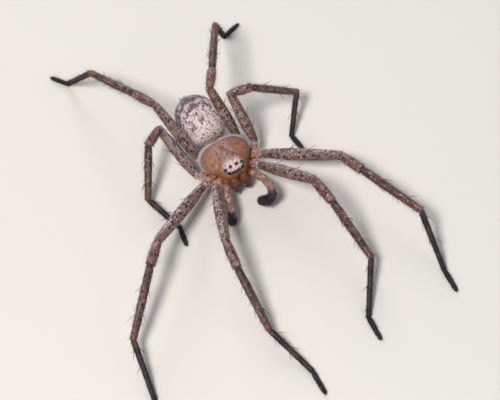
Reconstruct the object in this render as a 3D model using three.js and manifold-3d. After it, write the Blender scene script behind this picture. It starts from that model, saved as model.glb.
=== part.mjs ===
// A still, life-size huntsman spider resting on its eight feet.
// Millimetres, +Z up. The head looks along -Y and the animal's left side is +X.
// The origin lies on the floor below the middle of the whole leg span.

import * as THREE from 'three';
import { mergeVertices } from 'three/addons/utils/BufferGeometryUtils.js';
import Module from 'manifold-3d';

const wasm = await Module();
wasm.setup();

// Clearances between neighbouring pieces
const GAP = 0.3;
const EYE_GAP = 0.1;

// Carapace: right half of its outline from the front middle to the rear middle
const CARAPACE_OUTLINE = [
  [0, -3.5], [1.3, -3.4], [1.98, -2.88], [2.4, -2.1], [3.1, -1.25], [3.74, -0.1],
  [3.9, 1.0], [3.45, 2.1], [2.6, 2.88], [1.3, 3.3], [0, 3.28],
];
const CARAPACE_RIM = 3.85;
const CARAPACE_TOP = 5.75;
const CARAPACE_SAG = 0.06;
const CARAPACE_MESH = { around: 40, up: 18 };

// Its dome falls evenly to the sides behind, and is flat-topped with steep sides on the head
const CROWN_SIDE = 2.7;
const CROWN_HEAD = 7.5;
const CROWN_POWER = 0.55;
const HEAD = { from: 0.2, to: 2.6 };
const FOVEA = { y: 1.3, length: 0.9, width: 0.42, depth: 0.3 };
const HEAD_GROOVE = { side: 2.4, reach: 2.9, back: 0.9, front: 0.4, width: 0.45, depth: 0.16 };

// Eyes: half distance from the middle line, place along the head and radius
const EYES = {
  ame: { x: 0.38, y: -3.24, r: 0.21 },
  ale: { x: 1.1, y: -3.12, r: 0.21 },
  pme: { x: 0.5, y: -2.46, r: 0.21 },
  ple: { x: 1.4, y: -2.5, r: 0.22 },
};
const EYE_PROUD = 0.3;
const EYE_MESH = { around: 10, up: 6 };

// Sternum with the lip and the two endites in front of it
const STERNUM_OUTLINE = [
  [0, -1.85], [0.9, -1.8], [1.5, -1.35], [1.85, -0.4], [1.8, 0.6], [1.3, 1.6], [0.6, 2.15], [0, 2.25],
];
const STERNUM_TOP = 3.5;
const STERNUM_BOTTOM = 1.75;
const STERNUM_MESH = { around: 24, up: 8 };
const ENDITE = { x: 0.7, tipX: 0.77, from: -1.4, to: -2.55, z: 1.88, radii: [0.37, 0.407, 0.296] };

// Waist and abdomen, turned a little to the right on the waist
const WAIST = { y: 2.55, z: 2.9, radii: [0.5, 0.425, 0.5], sides: 10, rows: 4 };
const ABDOMEN = { y: 8.15, z: 3.95, wide: 3.3, long: 4.55, high: 2.6, belly: 2.392, turn: 3 };
const ABDOMEN_SWELL = { wide: 0.09, high: 0.054 };
const ABDOMEN_BLUNTNESS = 2.6;
const ABDOMEN_MESH = { around: 32, up: 18 };
const ABDOMEN_INSET = { front: 0.2, rear: 0.22 };
const SPINNERET = {
  count: 4, below: 0.9, length: 1.0, droop: 0.15,
  rootSpread: 0.252, tipSpread: 0.504, radii: [0.384, 0.32, 0.224],
};

// Jaws
const JAW = {
  joints: [[0.74, -2.75, 2.9], [0.87, -3.4, 2.7], [0.98, -3.85, 1.7]],
  radii: [0.54, 0.72, 0.75, 0.66, 0.46],
  rows: [0, 0.12, 0.5, 0.88, 1],
  tipRounding: 0.714,
};
const FANG = {
  joints: [[1.08, -4.2, 1.25], [0.78, -4.1, 0.95], [0.38, -3.85, 0.85]],
  rings: [[0, 0, 0.216], [0, 0.25, 0.27], [0, 1, 0.1944], [1, 1, 0.0594]],
};

// Palps: joints from the hip to the tip, the right one stretched and the left one curled in
const PALP_LEFT = [
  [1.95, -2.95, 2.15], [2.45, -3.9, 3.0], [2.98, -6.0, 3.85], [3.2, -7.3, 3.7],
  [2.95, -8.5, 3.0], [1.9, -8.38, 1.95], [0.9, -7.36, 1.3],
];
const PALP_RIGHT = [
  [-1.9, -2.95, 2.15], [-2.4, -3.8, 2.8], [-3.12, -6.0, 2.95], [-3.52, -7.15, 2.95],
  [-3.85, -7.85, 2.35], [-4.15, -8.1, 1.3], [-4.25, -8.0, 0.85],
];
const PALP_RADII = [0.36, 0.45, 0.63, 0.66, 0.69, 0.73, 0.52];
const PALP_ROWS = { near: 0.22, far: 0.7, nearGirth: 0.35, farGirth: 0.75, waist: 0.92, tip: 0.7 };

// Legs: root beside the sternum, hip, segment lengths and girth of the four pairs, front to rear
const HIP_HEIGHT = 2.75;
const TROCHANTER = 0.85;
const PAIRS = {
  1: { root: [1.62, -1.78], hip: [3.7, -2.8], lengths: [12.0, 4.5, 9.9, 8.7, 3.9], girth: 1 },
  2: { root: [2.15, -0.75], hip: [4.9, -1.3], lengths: [12.7, 4.2, 11.0, 9.3, 3.6], girth: 1.02 },
  3: { root: [2.18, 0.5], hip: [5.1, 0.9], lengths: [8.8, 3.3, 8.3, 6.6, 3.1], girth: 0.94 },
  4: { root: [1.75, 1.7], hip: [3.4, 3.2], lengths: [10.7, 3.8, 10.0, 9.6, 3.0], girth: 0.93 },
};

// Pose: heading of femur, patella, tibia, metatarsus and tarsus in degrees from +X towards +Y,
// and rise above the level of the first three. The last two come down to the floor.
const POSE = {
  l1: { heading: [-65, -83, -83, -125, -94], rise: [27, -3, -32] },
  r1: { heading: [-108, -98, -93, -75, -92], rise: [21, -12, -24] },
  l2: { heading: [-42, -72, -70, -99, -93], rise: [11, 6, -2] },
  r2: { heading: [-149, -133, -135, -101, -95], rise: [16, 4, -17] },
  l3: { heading: [92, -5, -13, -132, -84], rise: [55, -14, -39] },
  r3: { heading: [100, -145, -128, -73, -100], rise: [25, 9, -42] },
  l4: { heading: [108, 58, 61, 60, 17], rise: [70, -12, -16] },
  r4: { heading: [107, 115, 112, 121, 122], rise: [47, -1, -16] },
};
const ANKLE_HEIGHT = 0.4;
const TIP_HEIGHT = 0.22;
const SHIN_FLOOR = 0.08;

// Girth along each segment at even steps, in millimetres of radius, and flattening
const COXA = { radii: [0.44, 0.58, 0.68, 0.68], sides: 10, rows: 4 };
const FEMUR = { radii: [0.68, 0.95, 0.93, 0.74], sides: 10, rows: 6 };
const PATELLA = { radii: [0.7, 0.8, 0.78], rows: 3 };
const TIBIA = { radii: [0.62, 0.68, 0.64, 0.58], sides: 10, rows: 5 };
const METATARSUS = { radii: [0.52, 0.46, 0.42, 0.4], sides: 8, rows: 5 };
const TARSUS = { radii: [0.37, 0.38, 0.36, 0.3], sides: 8, rows: 5 };
const FLATTEN = 0.93;
const END_ROUNDING = 0.84;
const END_STEP = 0.05;
const KNEE_OVERHANG = 0.5;

// Spines of the legs: thickness at the root, length, slope to the limb and how deep the root sits
const SPINE = { radius: 0.26, length: 2.1, slope: 36, sunk: 0.28, sides: 4, clearance: 0.35 };
const SPINE_SCATTER = { along: 0.1, degrees: 16, shortest: 0.88, spread: 0.24 };
const SPINE_ROWS = {
  femur: { at: [0.34, 0.66], around: [90, 20, 160] },
  tibia: { at: [0.3, 0.68], around: [15, 165, -60, -120] },
  metatarsus: { at: [0.14, 0.46], around: [20, 160] },
};
const SEED = 7;

const FINISH = {
  shield: { color: '#b4713f', roughness: 0.5, metalness: 0 },
  underside: { color: '#a98468', roughness: 0.6, metalness: 0 },
  abdomen: { color: '#b3a299', roughness: 0.75, metalness: 0 },
  jaw: { color: '#b5562c', roughness: 0.4, metalness: 0 },
  fang: { color: '#1e0f0c', roughness: 0.25, metalness: 0 },
  eye: { color: '#0c0a0e', roughness: 0.08, metalness: 0 },
  palp: { color: '#8d5c49', roughness: 0.6, metalness: 0 },
  thigh: { color: '#9b7f78', roughness: 0.6, metalness: 0 },
  shin: { color: '#7d4b3e', roughness: 0.6, metalness: 0 },
  foot: { color: '#4a3536', roughness: 0.65, metalness: 0 },
};

const SHORT_EDGE = 0.02;
const THIN_FACE = 0.012;
const OUTLINE_STEPS = 360;
const NORMAL_STEP = 0.05;
const ROUND_MESH = 8;
const UP = new THREE.Vector3(0, 0, 1);
const radians = THREE.MathUtils.degToRad;
const smoothstep = THREE.MathUtils.smoothstep;
const lerp = THREE.MathUtils.lerp;

// Repeatable draw between 0 and 1
function seededRandom(seed) {
  let state = seed;
  return () => {
    state = (state * 1664525 + 1013904223) % 4294967296;
    return state / 4294967296;
  };
}

// Vector from a list of three numbers
function point([x, y, z]) {
  return new THREE.Vector3(x, y, z);
}

// Value of a profile given at even steps, with smooth change between them
function profileAt(values, fraction) {
  const curve = new THREE.SplineCurve(values.map((value, i) => new THREE.Vector2(i, value)));
  return curve.getPoint(fraction).y;
}

// Geometry with one vertex for each corner
function welded(geometry) {
  geometry.deleteAttribute('normal');
  geometry.deleteAttribute('uv');
  return mergeVertices(geometry, 1e-4);
}

// Closed geometry as a solid that can be joined or cut
function toSolid(geometry) {
  const mesh = welded(geometry);
  const vertProperties = new Float32Array(mesh.attributes.position.array);
  const triVerts = new Uint32Array(mesh.index.array);
  return new wasm.Manifold(new wasm.Mesh({ numProp: 3, vertProperties, triVerts }));
}

// Closed surface whose needle-thin faces, left where bodies were fused, are taken out one by one:
// a short edge is drawn together, and a longer one is swapped for the other diagonal.
class Surface {
  constructor(positions, indices) {
    this.points = [];
    for (let i = 0; i < positions.length; i += 3) {
      this.points.push(new THREE.Vector3().fromArray(positions, i));
    }
    this.faces = [];
    for (let i = 0; i < indices.length; i += 3) {
      this.faces.push([indices[i], indices[i + 1], indices[i + 2]]);
    }
  }

  cross([a, b, c]) {
    const along = this.points[b].clone().sub(this.points[a]);
    return along.cross(this.points[c].clone().sub(this.points[a]));
  }

  // Edges of a face from the shortest to the longest, each with the corner opposite it
  edges([a, b, c]) {
    return [[a, b, c], [b, c, a], [c, a, b]]
      .map(([from, to, across]) => ({
        from, to, across, length: this.points[from].distanceTo(this.points[to]),
      }))
      .sort((one, other) => one.length - other.length);
  }

  height(face) {
    return this.cross(face).length() / this.edges(face)[2].length;
  }

  neighbours(corner) {
    return new Set(this.faces.filter((face) => face.includes(corner)).flat());
  }

  // Draws the corner `gone` onto the corner `kept`, where that folds no face over
  collapse(kept, gone) {
    const shared = [...this.neighbours(kept)].filter((corner) => this.neighbours(gone).has(corner));
    if (shared.length !== 4) return false;
    const moved = this.faces.filter((face) => face.includes(gone) && !face.includes(kept));
    const renamed = (face) => face.map((corner) => (corner === gone ? kept : corner));
    const folds = moved.some((face) => (
      this.height(face) > THIN_FACE && this.cross(face).dot(this.cross(renamed(face))) <= 0
    ));
    if (folds) return false;
    this.faces = this.faces.filter((face) => !(face.includes(gone) && face.includes(kept))).map(renamed);
    return true;
  }

  // Swaps the edge between two faces for their other diagonal, where that makes neither thinner
  swap({ from, to, across }) {
    const own = this.faces.findIndex((face) => [from, to, across].every((corner) => face.includes(corner)));
    const other = this.faces.findIndex((face, i) => i !== own && face.includes(from) && face.includes(to));
    const far = this.faces[other].find((corner) => corner !== from && corner !== to);
    if (this.neighbours(across).has(far)) return false;
    const turned = [[from, far, across], [far, to, across]];
    const before = Math.min(this.height(this.faces[own]), this.height(this.faces[other]));
    if (Math.min(...turned.map((face) => this.height(face))) <= before) return false;
    [this.faces[own], this.faces[other]] = turned;
    return true;
  }

  // Mends thin faces, the thinnest first, until none is left that can be mended
  mend() {
    const given = new Set();
    for (;;) {
      const thin = this.faces.filter((face) => !given.has(face) && this.height(face) < THIN_FACE);
      if (thin.length === 0) return this;
      const worst = thin.reduce((best, face) => (this.height(face) < this.height(best) ? face : best));
      const [shortest, , longest] = this.edges(worst);
      const mended = (shortest.length < SHORT_EDGE && (
        this.collapse(shortest.from, shortest.to) || this.collapse(shortest.to, shortest.from)
      )) || this.swap(longest);
      if (!mended) given.add(worst);
    }
  }

  geometry() {
    const corners = this.faces.flat().flatMap((corner) => this.points[corner].toArray());
    const loose = new THREE.BufferGeometry();
    loose.setAttribute('position', new THREE.Float32BufferAttribute(corners, 3));
    return mergeVertices(loose, 1e-5);
  }
}

// Largest closed body of a solid, as a geometry
function toGeometry(solid) {
  const bodies = solid.decompose();
  const largest = bodies.reduce((best, body) => (body.volume() > best.volume() ? body : best));
  const mesh = largest.getMesh();
  return new Surface(mesh.vertProperties, mesh.triVerts).mend().geometry();
}

// Several closed geometries fused into one
function fused(geometries) {
  const solids = geometries.map(toSolid);
  return toGeometry(solids.reduce((whole, solid) => whole.add(solid)));
}

// Named mesh with its finish
function piece(name, geometry, finish) {
  const shape = geometry.index ? geometry : welded(geometry);
  shape.computeVertexNormals();
  const mesh = new THREE.Mesh(shape, new THREE.MeshStandardMaterial(finish));
  mesh.name = name;
  return mesh;
}

// Limb through a list of joints: a closed tube whose cross sections turn evenly into each joint.
// before and after are the directions of the neighbouring limbs, for the slanted end cuts.
class Limb {
  constructor(joints, { before = null, after = null, floor = -Infinity, gap = GAP }) {
    this.joints = joints;
    this.floor = floor;
    this.parts = joints.slice(1).map((end, i) => {
      const axis = end.clone().sub(joints[i]);
      const length = axis.length();
      return { axis: axis.normalize(), length };
    });
    this.parts.forEach((part, i) => {
      const last = this.parts[i - 1];
      if (last) {
        const turn = new THREE.Quaternion().setFromUnitVectors(last.axis, part.axis);
        part.side = last.side.clone().applyQuaternion(turn);
      } else {
        part.side = part.axis.clone().cross(UP).normalize();
      }
      part.down = part.axis.clone().cross(part.side);
    });
    this.parts.forEach((part, i) => {
      const last = this.parts[i - 1]?.axis ?? before ?? part.axis;
      const next = this.parts[i + 1]?.axis ?? after ?? part.axis;
      part.startPlane = last.clone().add(part.axis).normalize();
      part.endPlane = next.clone().add(part.axis).normalize();
      part.startGap = i === 0 && before ? gap / 2 : 0;
      part.endGap = i === this.parts.length - 1 && after ? gap / 2 : 0;
    });
  }

  // Point on the surface, at a fraction of one part and an angle in radians round it
  surface(index, fraction, angle, radius) {
    const part = this.parts[index];
    const offset = part.side.clone().multiplyScalar(Math.sin(angle) * radius * FLATTEN);
    offset.addScaledVector(part.down, Math.cos(angle) * radius);
    const overhang = radius * KNEE_OVERHANG;
    const near = (part.startGap - offset.dot(part.startPlane)) / part.axis.dot(part.startPlane);
    const far = (-part.endGap - offset.dot(part.endPlane)) / part.axis.dot(part.endPlane);
    const low = Math.max(near, -overhang);
    const high = part.length + Math.min(far, overhang);
    const result = this.joints[index].clone().add(offset);
    result.addScaledVector(part.axis, lerp(low, high, fraction));
    result.z = Math.max(result.z, this.floor);
    return result;
  }

  // Closed tube over all parts. rings is a list of part, fraction and radius.
  geometry(rings, sides) {
    const tube = new THREE.CylinderGeometry(1, 1, 1, sides, rings.length - 1);
    const position = tube.attributes.position;
    const vertex = new THREE.Vector3();
    for (let i = 0; i < position.count; i += 1) {
      vertex.fromBufferAttribute(position, i);
      const ring = rings[Math.round((0.5 - vertex.y) * (rings.length - 1))];
      const angle = Math.atan2(vertex.x, vertex.z) + Math.PI / sides;
      const radius = ring.radius * Math.hypot(vertex.x, vertex.z);
      vertex.copy(this.surface(ring.part, ring.fraction, angle, radius));
      position.setXYZ(i, vertex.x, vertex.y, vertex.z);
    }
    return welded(tube);
  }

  // Spine on the surface, leaning towards the tip of the limb. The angle is 90 on the upper side.
  spine(index, fraction, degrees, radius, length) {
    const part = this.parts[index];
    const angle = radians(degrees + 90);
    const outward = part.side.clone().multiplyScalar(Math.sin(angle));
    outward.addScaledVector(part.down, Math.cos(angle));
    const root = this.surface(index, fraction, angle, radius - SPINE.sunk);
    const slope = radians(SPINE.slope);
    const lean = part.axis.clone().multiplyScalar(Math.cos(slope));
    lean.addScaledVector(outward, Math.sin(slope));
    const cone = new THREE.ConeGeometry(SPINE.radius, length, SPINE.sides, 1);
    cone.translate(0, length / 2, 0);
    cone.applyQuaternion(new THREE.Quaternion().setFromUnitVectors(new THREE.Vector3(0, 1, 0), lean));
    cone.translate(root.x, root.y, root.z);
    return { cone, tip: root.addScaledVector(lean, length) };
  }
}

// Rings of one part, closer together at rounded ends
function ringsOf(part, { radii, rows }, girth, { roundStart = true, roundEnd = true }) {
  const fractions = Array.from({ length: rows - 1 }, (_, i) => lerp(END_STEP, 1 - END_STEP, i / (rows - 2)));
  const inner = fractions.map((fraction) => ({
    part, fraction, radius: girth * profileAt(radii, fraction),
  }));
  const start = { part, fraction: 0, radius: girth * radii[0] * (roundStart ? END_ROUNDING : 1) };
  const end = { part, fraction: 1, radius: girth * radii.at(-1) * (roundEnd ? END_ROUNDING : 1) };
  return [start, ...inner, end];
}

// Closed smooth outline through the points of its right half, mirrored for the left half
function closedOutline(half) {
  const right = half.map(([x, y]) => new THREE.Vector3(x, y, 0));
  const left = half.slice(1, -1).reverse().map(([x, y]) => new THREE.Vector3(-x, y, 0));
  const curve = new THREE.CatmullRomCurve3([...right, ...left], true, 'centripetal');
  const middle = (half[0][1] + half.at(-1)[1]) / 2;
  const steps = curve.getPoints(OUTLINE_STEPS).map((p) => ({
    angle: Math.atan2(p.y - middle, p.x), reach: Math.hypot(p.x, p.y - middle),
  }));
  return {
    middle,
    reach: (angle) => steps.reduce((best, step) => {
      const away = Math.abs(Math.atan2(Math.sin(step.angle - angle), Math.cos(step.angle - angle)));
      return away < best.away ? { away, reach: step.reach } : best;
    }, { away: Infinity, reach: 0 }).reach,
  };
}

// Flat-bottomed or rounded shield over an outline. height gives z from the fraction of the way out.
function shield(outline, { around, up }, height) {
  const dome = new THREE.SphereGeometry(1, around, up);
  const position = dome.attributes.position;
  for (let i = 0; i < position.count; i += 1) {
    const x = position.getX(i);
    const y = -position.getZ(i);
    const out = Math.min(1, Math.hypot(x, y));
    const angle = Math.atan2(y, x);
    const reach = outline.reach(angle) * out;
    const px = Math.cos(angle) * reach;
    const py = outline.middle + Math.sin(angle) * reach;
    position.setXYZ(i, px, py, height(position.getY(i), out, px, py));
  }
  return welded(dome);
}

// Height of the carapace above a place inside its rim
function carapaceTop(out, x, y) {
  const head = smoothstep(-y, HEAD.from, HEAD.to);
  const crown = lerp(CROWN_SIDE, CROWN_HEAD, head);
  const rise = Math.pow(Math.max(0, 1 - Math.pow(out, crown)), CROWN_POWER);
  const fromFovea = Math.hypot(x / FOVEA.width, (y - FOVEA.y) / FOVEA.length);
  const fovea = FOVEA.depth * Math.exp(-fromFovea * fromFovea);
  const grooveX = (HEAD_GROOVE.back - y) * (HEAD_GROOVE.side / HEAD_GROOVE.reach);
  const fromGroove = (Math.abs(x) - grooveX) / HEAD_GROOVE.width;
  const onHead = smoothstep(-y, -HEAD_GROOVE.back, HEAD_GROOVE.front);
  const groove = HEAD_GROOVE.depth * Math.exp(-fromGroove * fromGroove) * onHead;
  return CARAPACE_RIM + (CARAPACE_TOP - CARAPACE_RIM - fovea - groove) * rise;
}

// Place on top of the carapace
function onCarapace(outline, x, y) {
  const across = Math.hypot(x, y - outline.middle);
  const out = across / outline.reach(Math.atan2(y - outline.middle, x));
  return new THREE.Vector3(x, y, carapaceTop(out, x, y));
}

function makeCarapace(outline, eyes) {
  const dome = shield(outline, CARAPACE_MESH, (level, out, x, y) => (
    level > 0 ? carapaceTop(out, x, y) : CARAPACE_RIM + level * CARAPACE_SAG
  ));
  const sockets = eyes.map(({ place, radius }) => {
    const socket = new THREE.SphereGeometry(radius + EYE_GAP, EYE_MESH.around, EYE_MESH.up);
    socket.translate(place.x, place.y, place.z);
    return toSolid(socket);
  });
  return toGeometry(sockets.reduce((whole, socket) => whole.subtract(socket), toSolid(dome)));
}

// Eyes stand a little proud of the head, along its surface normal
function eyePlaces(outline) {
  return Object.entries(EYES).flatMap(([name, { x, y, r }]) => [1, -1].map((side) => {
    const place = onCarapace(outline, side * x, y);
    const alongX = onCarapace(outline, side * x + NORMAL_STEP, y).sub(place);
    const alongY = onCarapace(outline, side * x, y + NORMAL_STEP).sub(place);
    place.addScaledVector(alongX.cross(alongY).normalize(), r * EYE_PROUD);
    return { name: `eye_${name}_${side > 0 ? 'l' : 'r'}`, place, radius: r };
  }));
}

function makeEye({ name, place, radius }) {
  const ball = new THREE.SphereGeometry(radius, EYE_MESH.around, EYE_MESH.up);
  ball.translate(place.x, place.y, place.z);
  return piece(name, welded(ball), FINISH.eye);
}

function makeSternum() {
  const outline = closedOutline(STERNUM_OUTLINE);
  const middle = (STERNUM_TOP + STERNUM_BOTTOM) / 2;
  const half = (STERNUM_TOP - STERNUM_BOTTOM) / 2;
  const plate = shield(outline, STERNUM_MESH, (level) => (
    middle + half * Math.sign(level) * Math.sqrt(Math.abs(level))
  ));
  const endites = [-1, 1].map((side) => {
    const joints = [
      new THREE.Vector3(side * ENDITE.x, ENDITE.from, ENDITE.z),
      new THREE.Vector3(side * ENDITE.tipX, ENDITE.to, ENDITE.z),
    ];
    return new Limb(joints, {}).geometry(ringsOf(0, { radii: ENDITE.radii, rows: 4 }, 1, {}), ROUND_MESH);
  });
  return piece('sternum', fused([plate, ...endites]), FINISH.underside);
}

// Surface factor of the abdomen: wider behind its middle, and a little flatter below
function abdomenPoint(a, b, c) {
  const high = c > 0 ? ABDOMEN.high : ABDOMEN.belly;
  return new THREE.Vector3(
    a * ABDOMEN.wide * (1 + ABDOMEN_SWELL.wide * b),
    ABDOMEN.y + b * ABDOMEN.long,
    ABDOMEN.z + c * high * (1 + ABDOMEN_SWELL.high * b),
  );
}

// How much wider than a ball's the blunt front is, from the middle of the abdomen, 0, to its front end, 1
function bluntness(forward) {
  const ball = Math.sqrt(Math.max(0, 1 - forward ** 2));
  const blunt = Math.max(0, 1 - forward ** ABDOMEN_BLUNTNESS) ** (1 / ABDOMEN_BLUNTNESS);
  return ball > 0 ? blunt / ball : 1;
}

function makeAbdomen() {
  const ball = new THREE.SphereGeometry(1, ABDOMEN_MESH.around, ABDOMEN_MESH.up);
  ball.rotateX(Math.PI / 2);
  const position = ball.attributes.position;
  for (let i = 0; i < position.count; i += 1) {
    const along = position.getY(i);
    const full = along < 0 ? bluntness(-along) : 1;
    const moved = abdomenPoint(position.getX(i) * full, along, position.getZ(i) * full);
    position.setXYZ(i, moved.x, moved.y, moved.z);
  }
  return piece('abdomen', welded(ball), FINISH.abdomen);
}

function makeSpinnerets() {
  const rear = ABDOMEN.y + ABDOMEN.long + GAP - ABDOMEN_INSET.rear;
  const height = ABDOMEN.z - SPINNERET.below;
  const cones = Array.from({ length: SPINNERET.count }, (_, i) => {
    const angle = (i + 0.5) * (2 * Math.PI / SPINNERET.count);
    const place = (spread, y, drop) => new THREE.Vector3(
      Math.cos(angle) * spread, y, height + Math.sin(angle) * spread - drop,
    );
    const joints = [
      place(SPINNERET.rootSpread, rear, 0),
      place(SPINNERET.tipSpread, rear + SPINNERET.length, SPINNERET.droop),
    ];
    return new Limb(joints, {}).geometry(ringsOf(0, { radii: SPINNERET.radii, rows: 3 }, 1, {}), ROUND_MESH);
  });
  return piece('spinnerets', fused(cones), FINISH.abdomen);
}

function makeWaist() {
  const front = new THREE.Vector3(0, WAIST.y, WAIST.z);
  const rear = new THREE.Vector3(0, ABDOMEN.y - ABDOMEN.long + ABDOMEN_INSET.front - GAP, WAIST.z);
  const tube = new Limb([front, rear], {}).geometry(ringsOf(0, WAIST, 1, {}), WAIST.sides);
  return piece('pedicel', tube, FINISH.underside);
}

// One jaw and its fang, for the left side (1) or the right side (-1)
function makeJaw(side, letter) {
  const mirrored = ([x, y, z]) => new THREE.Vector3(side * x, y, z);
  const jaw = new Limb(JAW.joints.map(mirrored), {});
  const jawRings = JAW.rows.flatMap((fraction) => [0, 1].map((part) => (
    { part, fraction, radius: profileAt(JAW.radii, (part + fraction) / 2) }
  ))).filter(({ part, fraction }) => part === 0 || fraction > 0);
  jawRings.sort((a, b) => a.part - b.part || a.fraction - b.fraction);
  jawRings[0].radius *= END_ROUNDING;
  jawRings.at(-1).radius *= JAW.tipRounding;
  const fang = new Limb(FANG.joints.map(mirrored), {});
  const fangRings = FANG.rings.map(([part, fraction, radius]) => ({ part, fraction, radius }));
  return [
    piece(`chelicera_${letter}`, jaw.geometry(jawRings, 12), FINISH.jaw),
    piece(`fang_${letter}`, fang.geometry(fangRings, ROUND_MESH), FINISH.fang),
  ];
}

function makePalp(name, places) {
  const palp = new Limb(places.map(point), {});
  const { near, far, nearGirth, farGirth, waist, tip } = PALP_ROWS;
  const rings = places.slice(1).flatMap((_, i) => [
    { part: i, fraction: i === 0 ? 0 : near, radius: lerp(PALP_RADII[i], PALP_RADII[i + 1], nearGirth) },
    { part: i, fraction: far, radius: lerp(PALP_RADII[i], PALP_RADII[i + 1], farGirth) },
    { part: i, fraction: 1, radius: PALP_RADII[i + 1] * waist },
  ]);
  rings[0].radius = PALP_RADII[0] * END_ROUNDING;
  rings.at(-1).radius = PALP_RADII.at(-1) * tip;
  return piece(name, palp.geometry(rings, 10), FINISH.palp);
}

// Joint places of one leg from the hip to the tip of the foot
function legJoints(name) {
  const side = name.startsWith('l') ? 1 : -1;
  const pair = PAIRS[name[1]];
  const { heading, rise } = POSE[name];
  const joints = [new THREE.Vector3(side * pair.hip[0], pair.hip[1], HIP_HEIGHT)];
  pair.lengths.forEach((length, i) => {
    const from = joints[i];
    const drops = { 3: ANKLE_HEIGHT, 4: TIP_HEIGHT };
    const slope = i in drops ? Math.asin((drops[i] - from.z) / length) : radians(rise[i]);
    const turn = radians(heading[i]);
    const level = length * Math.cos(slope);
    joints.push(from.clone().add(new THREE.Vector3(
      level * Math.cos(turn), level * Math.sin(turn), length * Math.sin(slope),
    )));
  });
  return joints;
}

// Whether a spine's tip stays clear of the floor and of every other leg
function tipIsClear(tip, name, legs) {
  if (tip.z < SPINE.clearance) return false;
  return Object.entries(legs).every(([other, joints]) => other === name || joints.slice(1).every((end, i) => {
    const line = new THREE.Line3(joints[i], end);
    const nearest = line.closestPointToPoint(tip, true, new THREE.Vector3());
    return nearest.distanceTo(tip) > FEMUR.radii[1] + SPINE.clearance;
  }));
}

// Limb with its spines fused on, in seeded rows
function spinyGeometry(limb, part, rings, shape, rows, girth, context) {
  const { random, name, legs } = context;
  const body = limb.geometry(rings, shape.sides);
  const cones = rows.at.flatMap((at) => rows.around.map((around) => {
    const fraction = at + (random() - 0.5) * SPINE_SCATTER.along;
    const degrees = around + (random() - 0.5) * SPINE_SCATTER.degrees;
    const length = SPINE.length * (SPINE_SCATTER.shortest + random() * SPINE_SCATTER.spread);
    const radius = girth * profileAt(shape.radii, fraction);
    return limb.spine(part, fraction, degrees, radius, length);
  }));
  const kept = cones.filter(({ tip }) => tipIsClear(tip, name, legs));
  return fused([body, ...kept.map(({ cone }) => cone)]);
}

function makeLeg(name, legs, random) {
  const joints = legs[name];
  const girth = PAIRS[name[1]].girth;
  const axes = joints.slice(1).map((end, i) => end.clone().sub(joints[i]).normalize());
  const context = { random, name, legs };
  const [rootX, rootY] = PAIRS[name[1]].root;
  const innerEnd = new THREE.Vector3(Math.sign(joints[0].x) * rootX, rootY, HIP_HEIGHT);
  const hipAxis = joints[0].clone().sub(innerEnd).normalize();

  const between = hipAxis.add(axes[0]).normalize();
  const trochanter = joints[0].clone().addScaledVector(between, -TROCHANTER);
  const coxa = new Limb([innerEnd, trochanter, joints[0]], { after: axes[0] });
  const femur = new Limb([joints[0], joints[1]], { before: between, after: axes[1] });
  const coxaRings = [
    ...ringsOf(0, COXA, girth, { roundEnd: false }),
    { part: 1, fraction: 0.5, radius: girth * COXA.radii.at(-1) },
    { part: 1, fraction: 1, radius: girth * COXA.radii.at(-1) * END_ROUNDING },
  ];
  const shin = new Limb([joints[1], joints[2], joints[3]], { before: axes[0], after: axes[3] });
  const metatarsus = new Limb([joints[3], joints[4]], { before: axes[2], after: axes[4], floor: SHIN_FLOOR });
  const tarsus = new Limb([joints[4], joints[5]], { before: axes[3], floor: 0 });

  const femurRings = ringsOf(0, FEMUR, girth, {});
  const shinRings = [
    ...ringsOf(0, PATELLA, girth, { roundEnd: false }),
    ...ringsOf(1, TIBIA, girth, { roundStart: false }).slice(1),
  ];
  const metatarsusRings = ringsOf(0, METATARSUS, girth, {});
  return [
    piece(`coxa_${name}`, coxa.geometry(coxaRings, COXA.sides), FINISH.thigh),
    piece(`femur_${name}`,
      spinyGeometry(femur, 0, femurRings, FEMUR, SPINE_ROWS.femur, girth, context), FINISH.thigh),
    piece(`tibia_${name}`,
      spinyGeometry(shin, 1, shinRings, TIBIA, SPINE_ROWS.tibia, girth, context), FINISH.shin),
    piece(`metatarsus_${name}`,
      spinyGeometry(metatarsus, 0, metatarsusRings, METATARSUS, SPINE_ROWS.metatarsus, girth, context),
      FINISH.foot),
    piece(`tarsus_${name}`, tarsus.geometry(ringsOf(0, TARSUS, girth, {}), TARSUS.sides), FINISH.foot),
  ];
}

const spider = new THREE.Group();

const carapaceOutline = closedOutline(CARAPACE_OUTLINE);
const eyes = eyePlaces(carapaceOutline);
spider.add(piece('carapace', makeCarapace(carapaceOutline, eyes), FINISH.shield));
eyes.forEach((eye) => spider.add(makeEye(eye)));
spider.add(makeSternum(), makeWaist());

const abdomen = new THREE.Group();
const waistRear = new THREE.Vector3(0, ABDOMEN.y - ABDOMEN.long, 0);
abdomen.position.copy(waistRear);
abdomen.rotation.z = radians(ABDOMEN.turn);
[makeAbdomen(), makeSpinnerets()].forEach((mesh) => {
  mesh.position.copy(waistRear).negate();
  abdomen.add(mesh);
});
spider.add(abdomen);

spider.add(...makeJaw(1, 'l'), ...makeJaw(-1, 'r'));
spider.add(makePalp('palp_l', PALP_LEFT), makePalp('palp_r', PALP_RIGHT));

const legs = Object.fromEntries(Object.keys(POSE).map((name) => [name, legJoints(name)]));
const random = seededRandom(SEED);
Object.keys(legs).forEach((name) => spider.add(...makeLeg(name, legs, random)));

// The origin is brought under the middle of the whole animal
spider.updateMatrixWorld(true);
const centre = new THREE.Box3().setFromObject(spider, true).getCenter(new THREE.Vector3());
spider.position.set(-centre.x, -centre.y, 0);

const model = new THREE.Group();
model.add(spider);

export default model;
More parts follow.
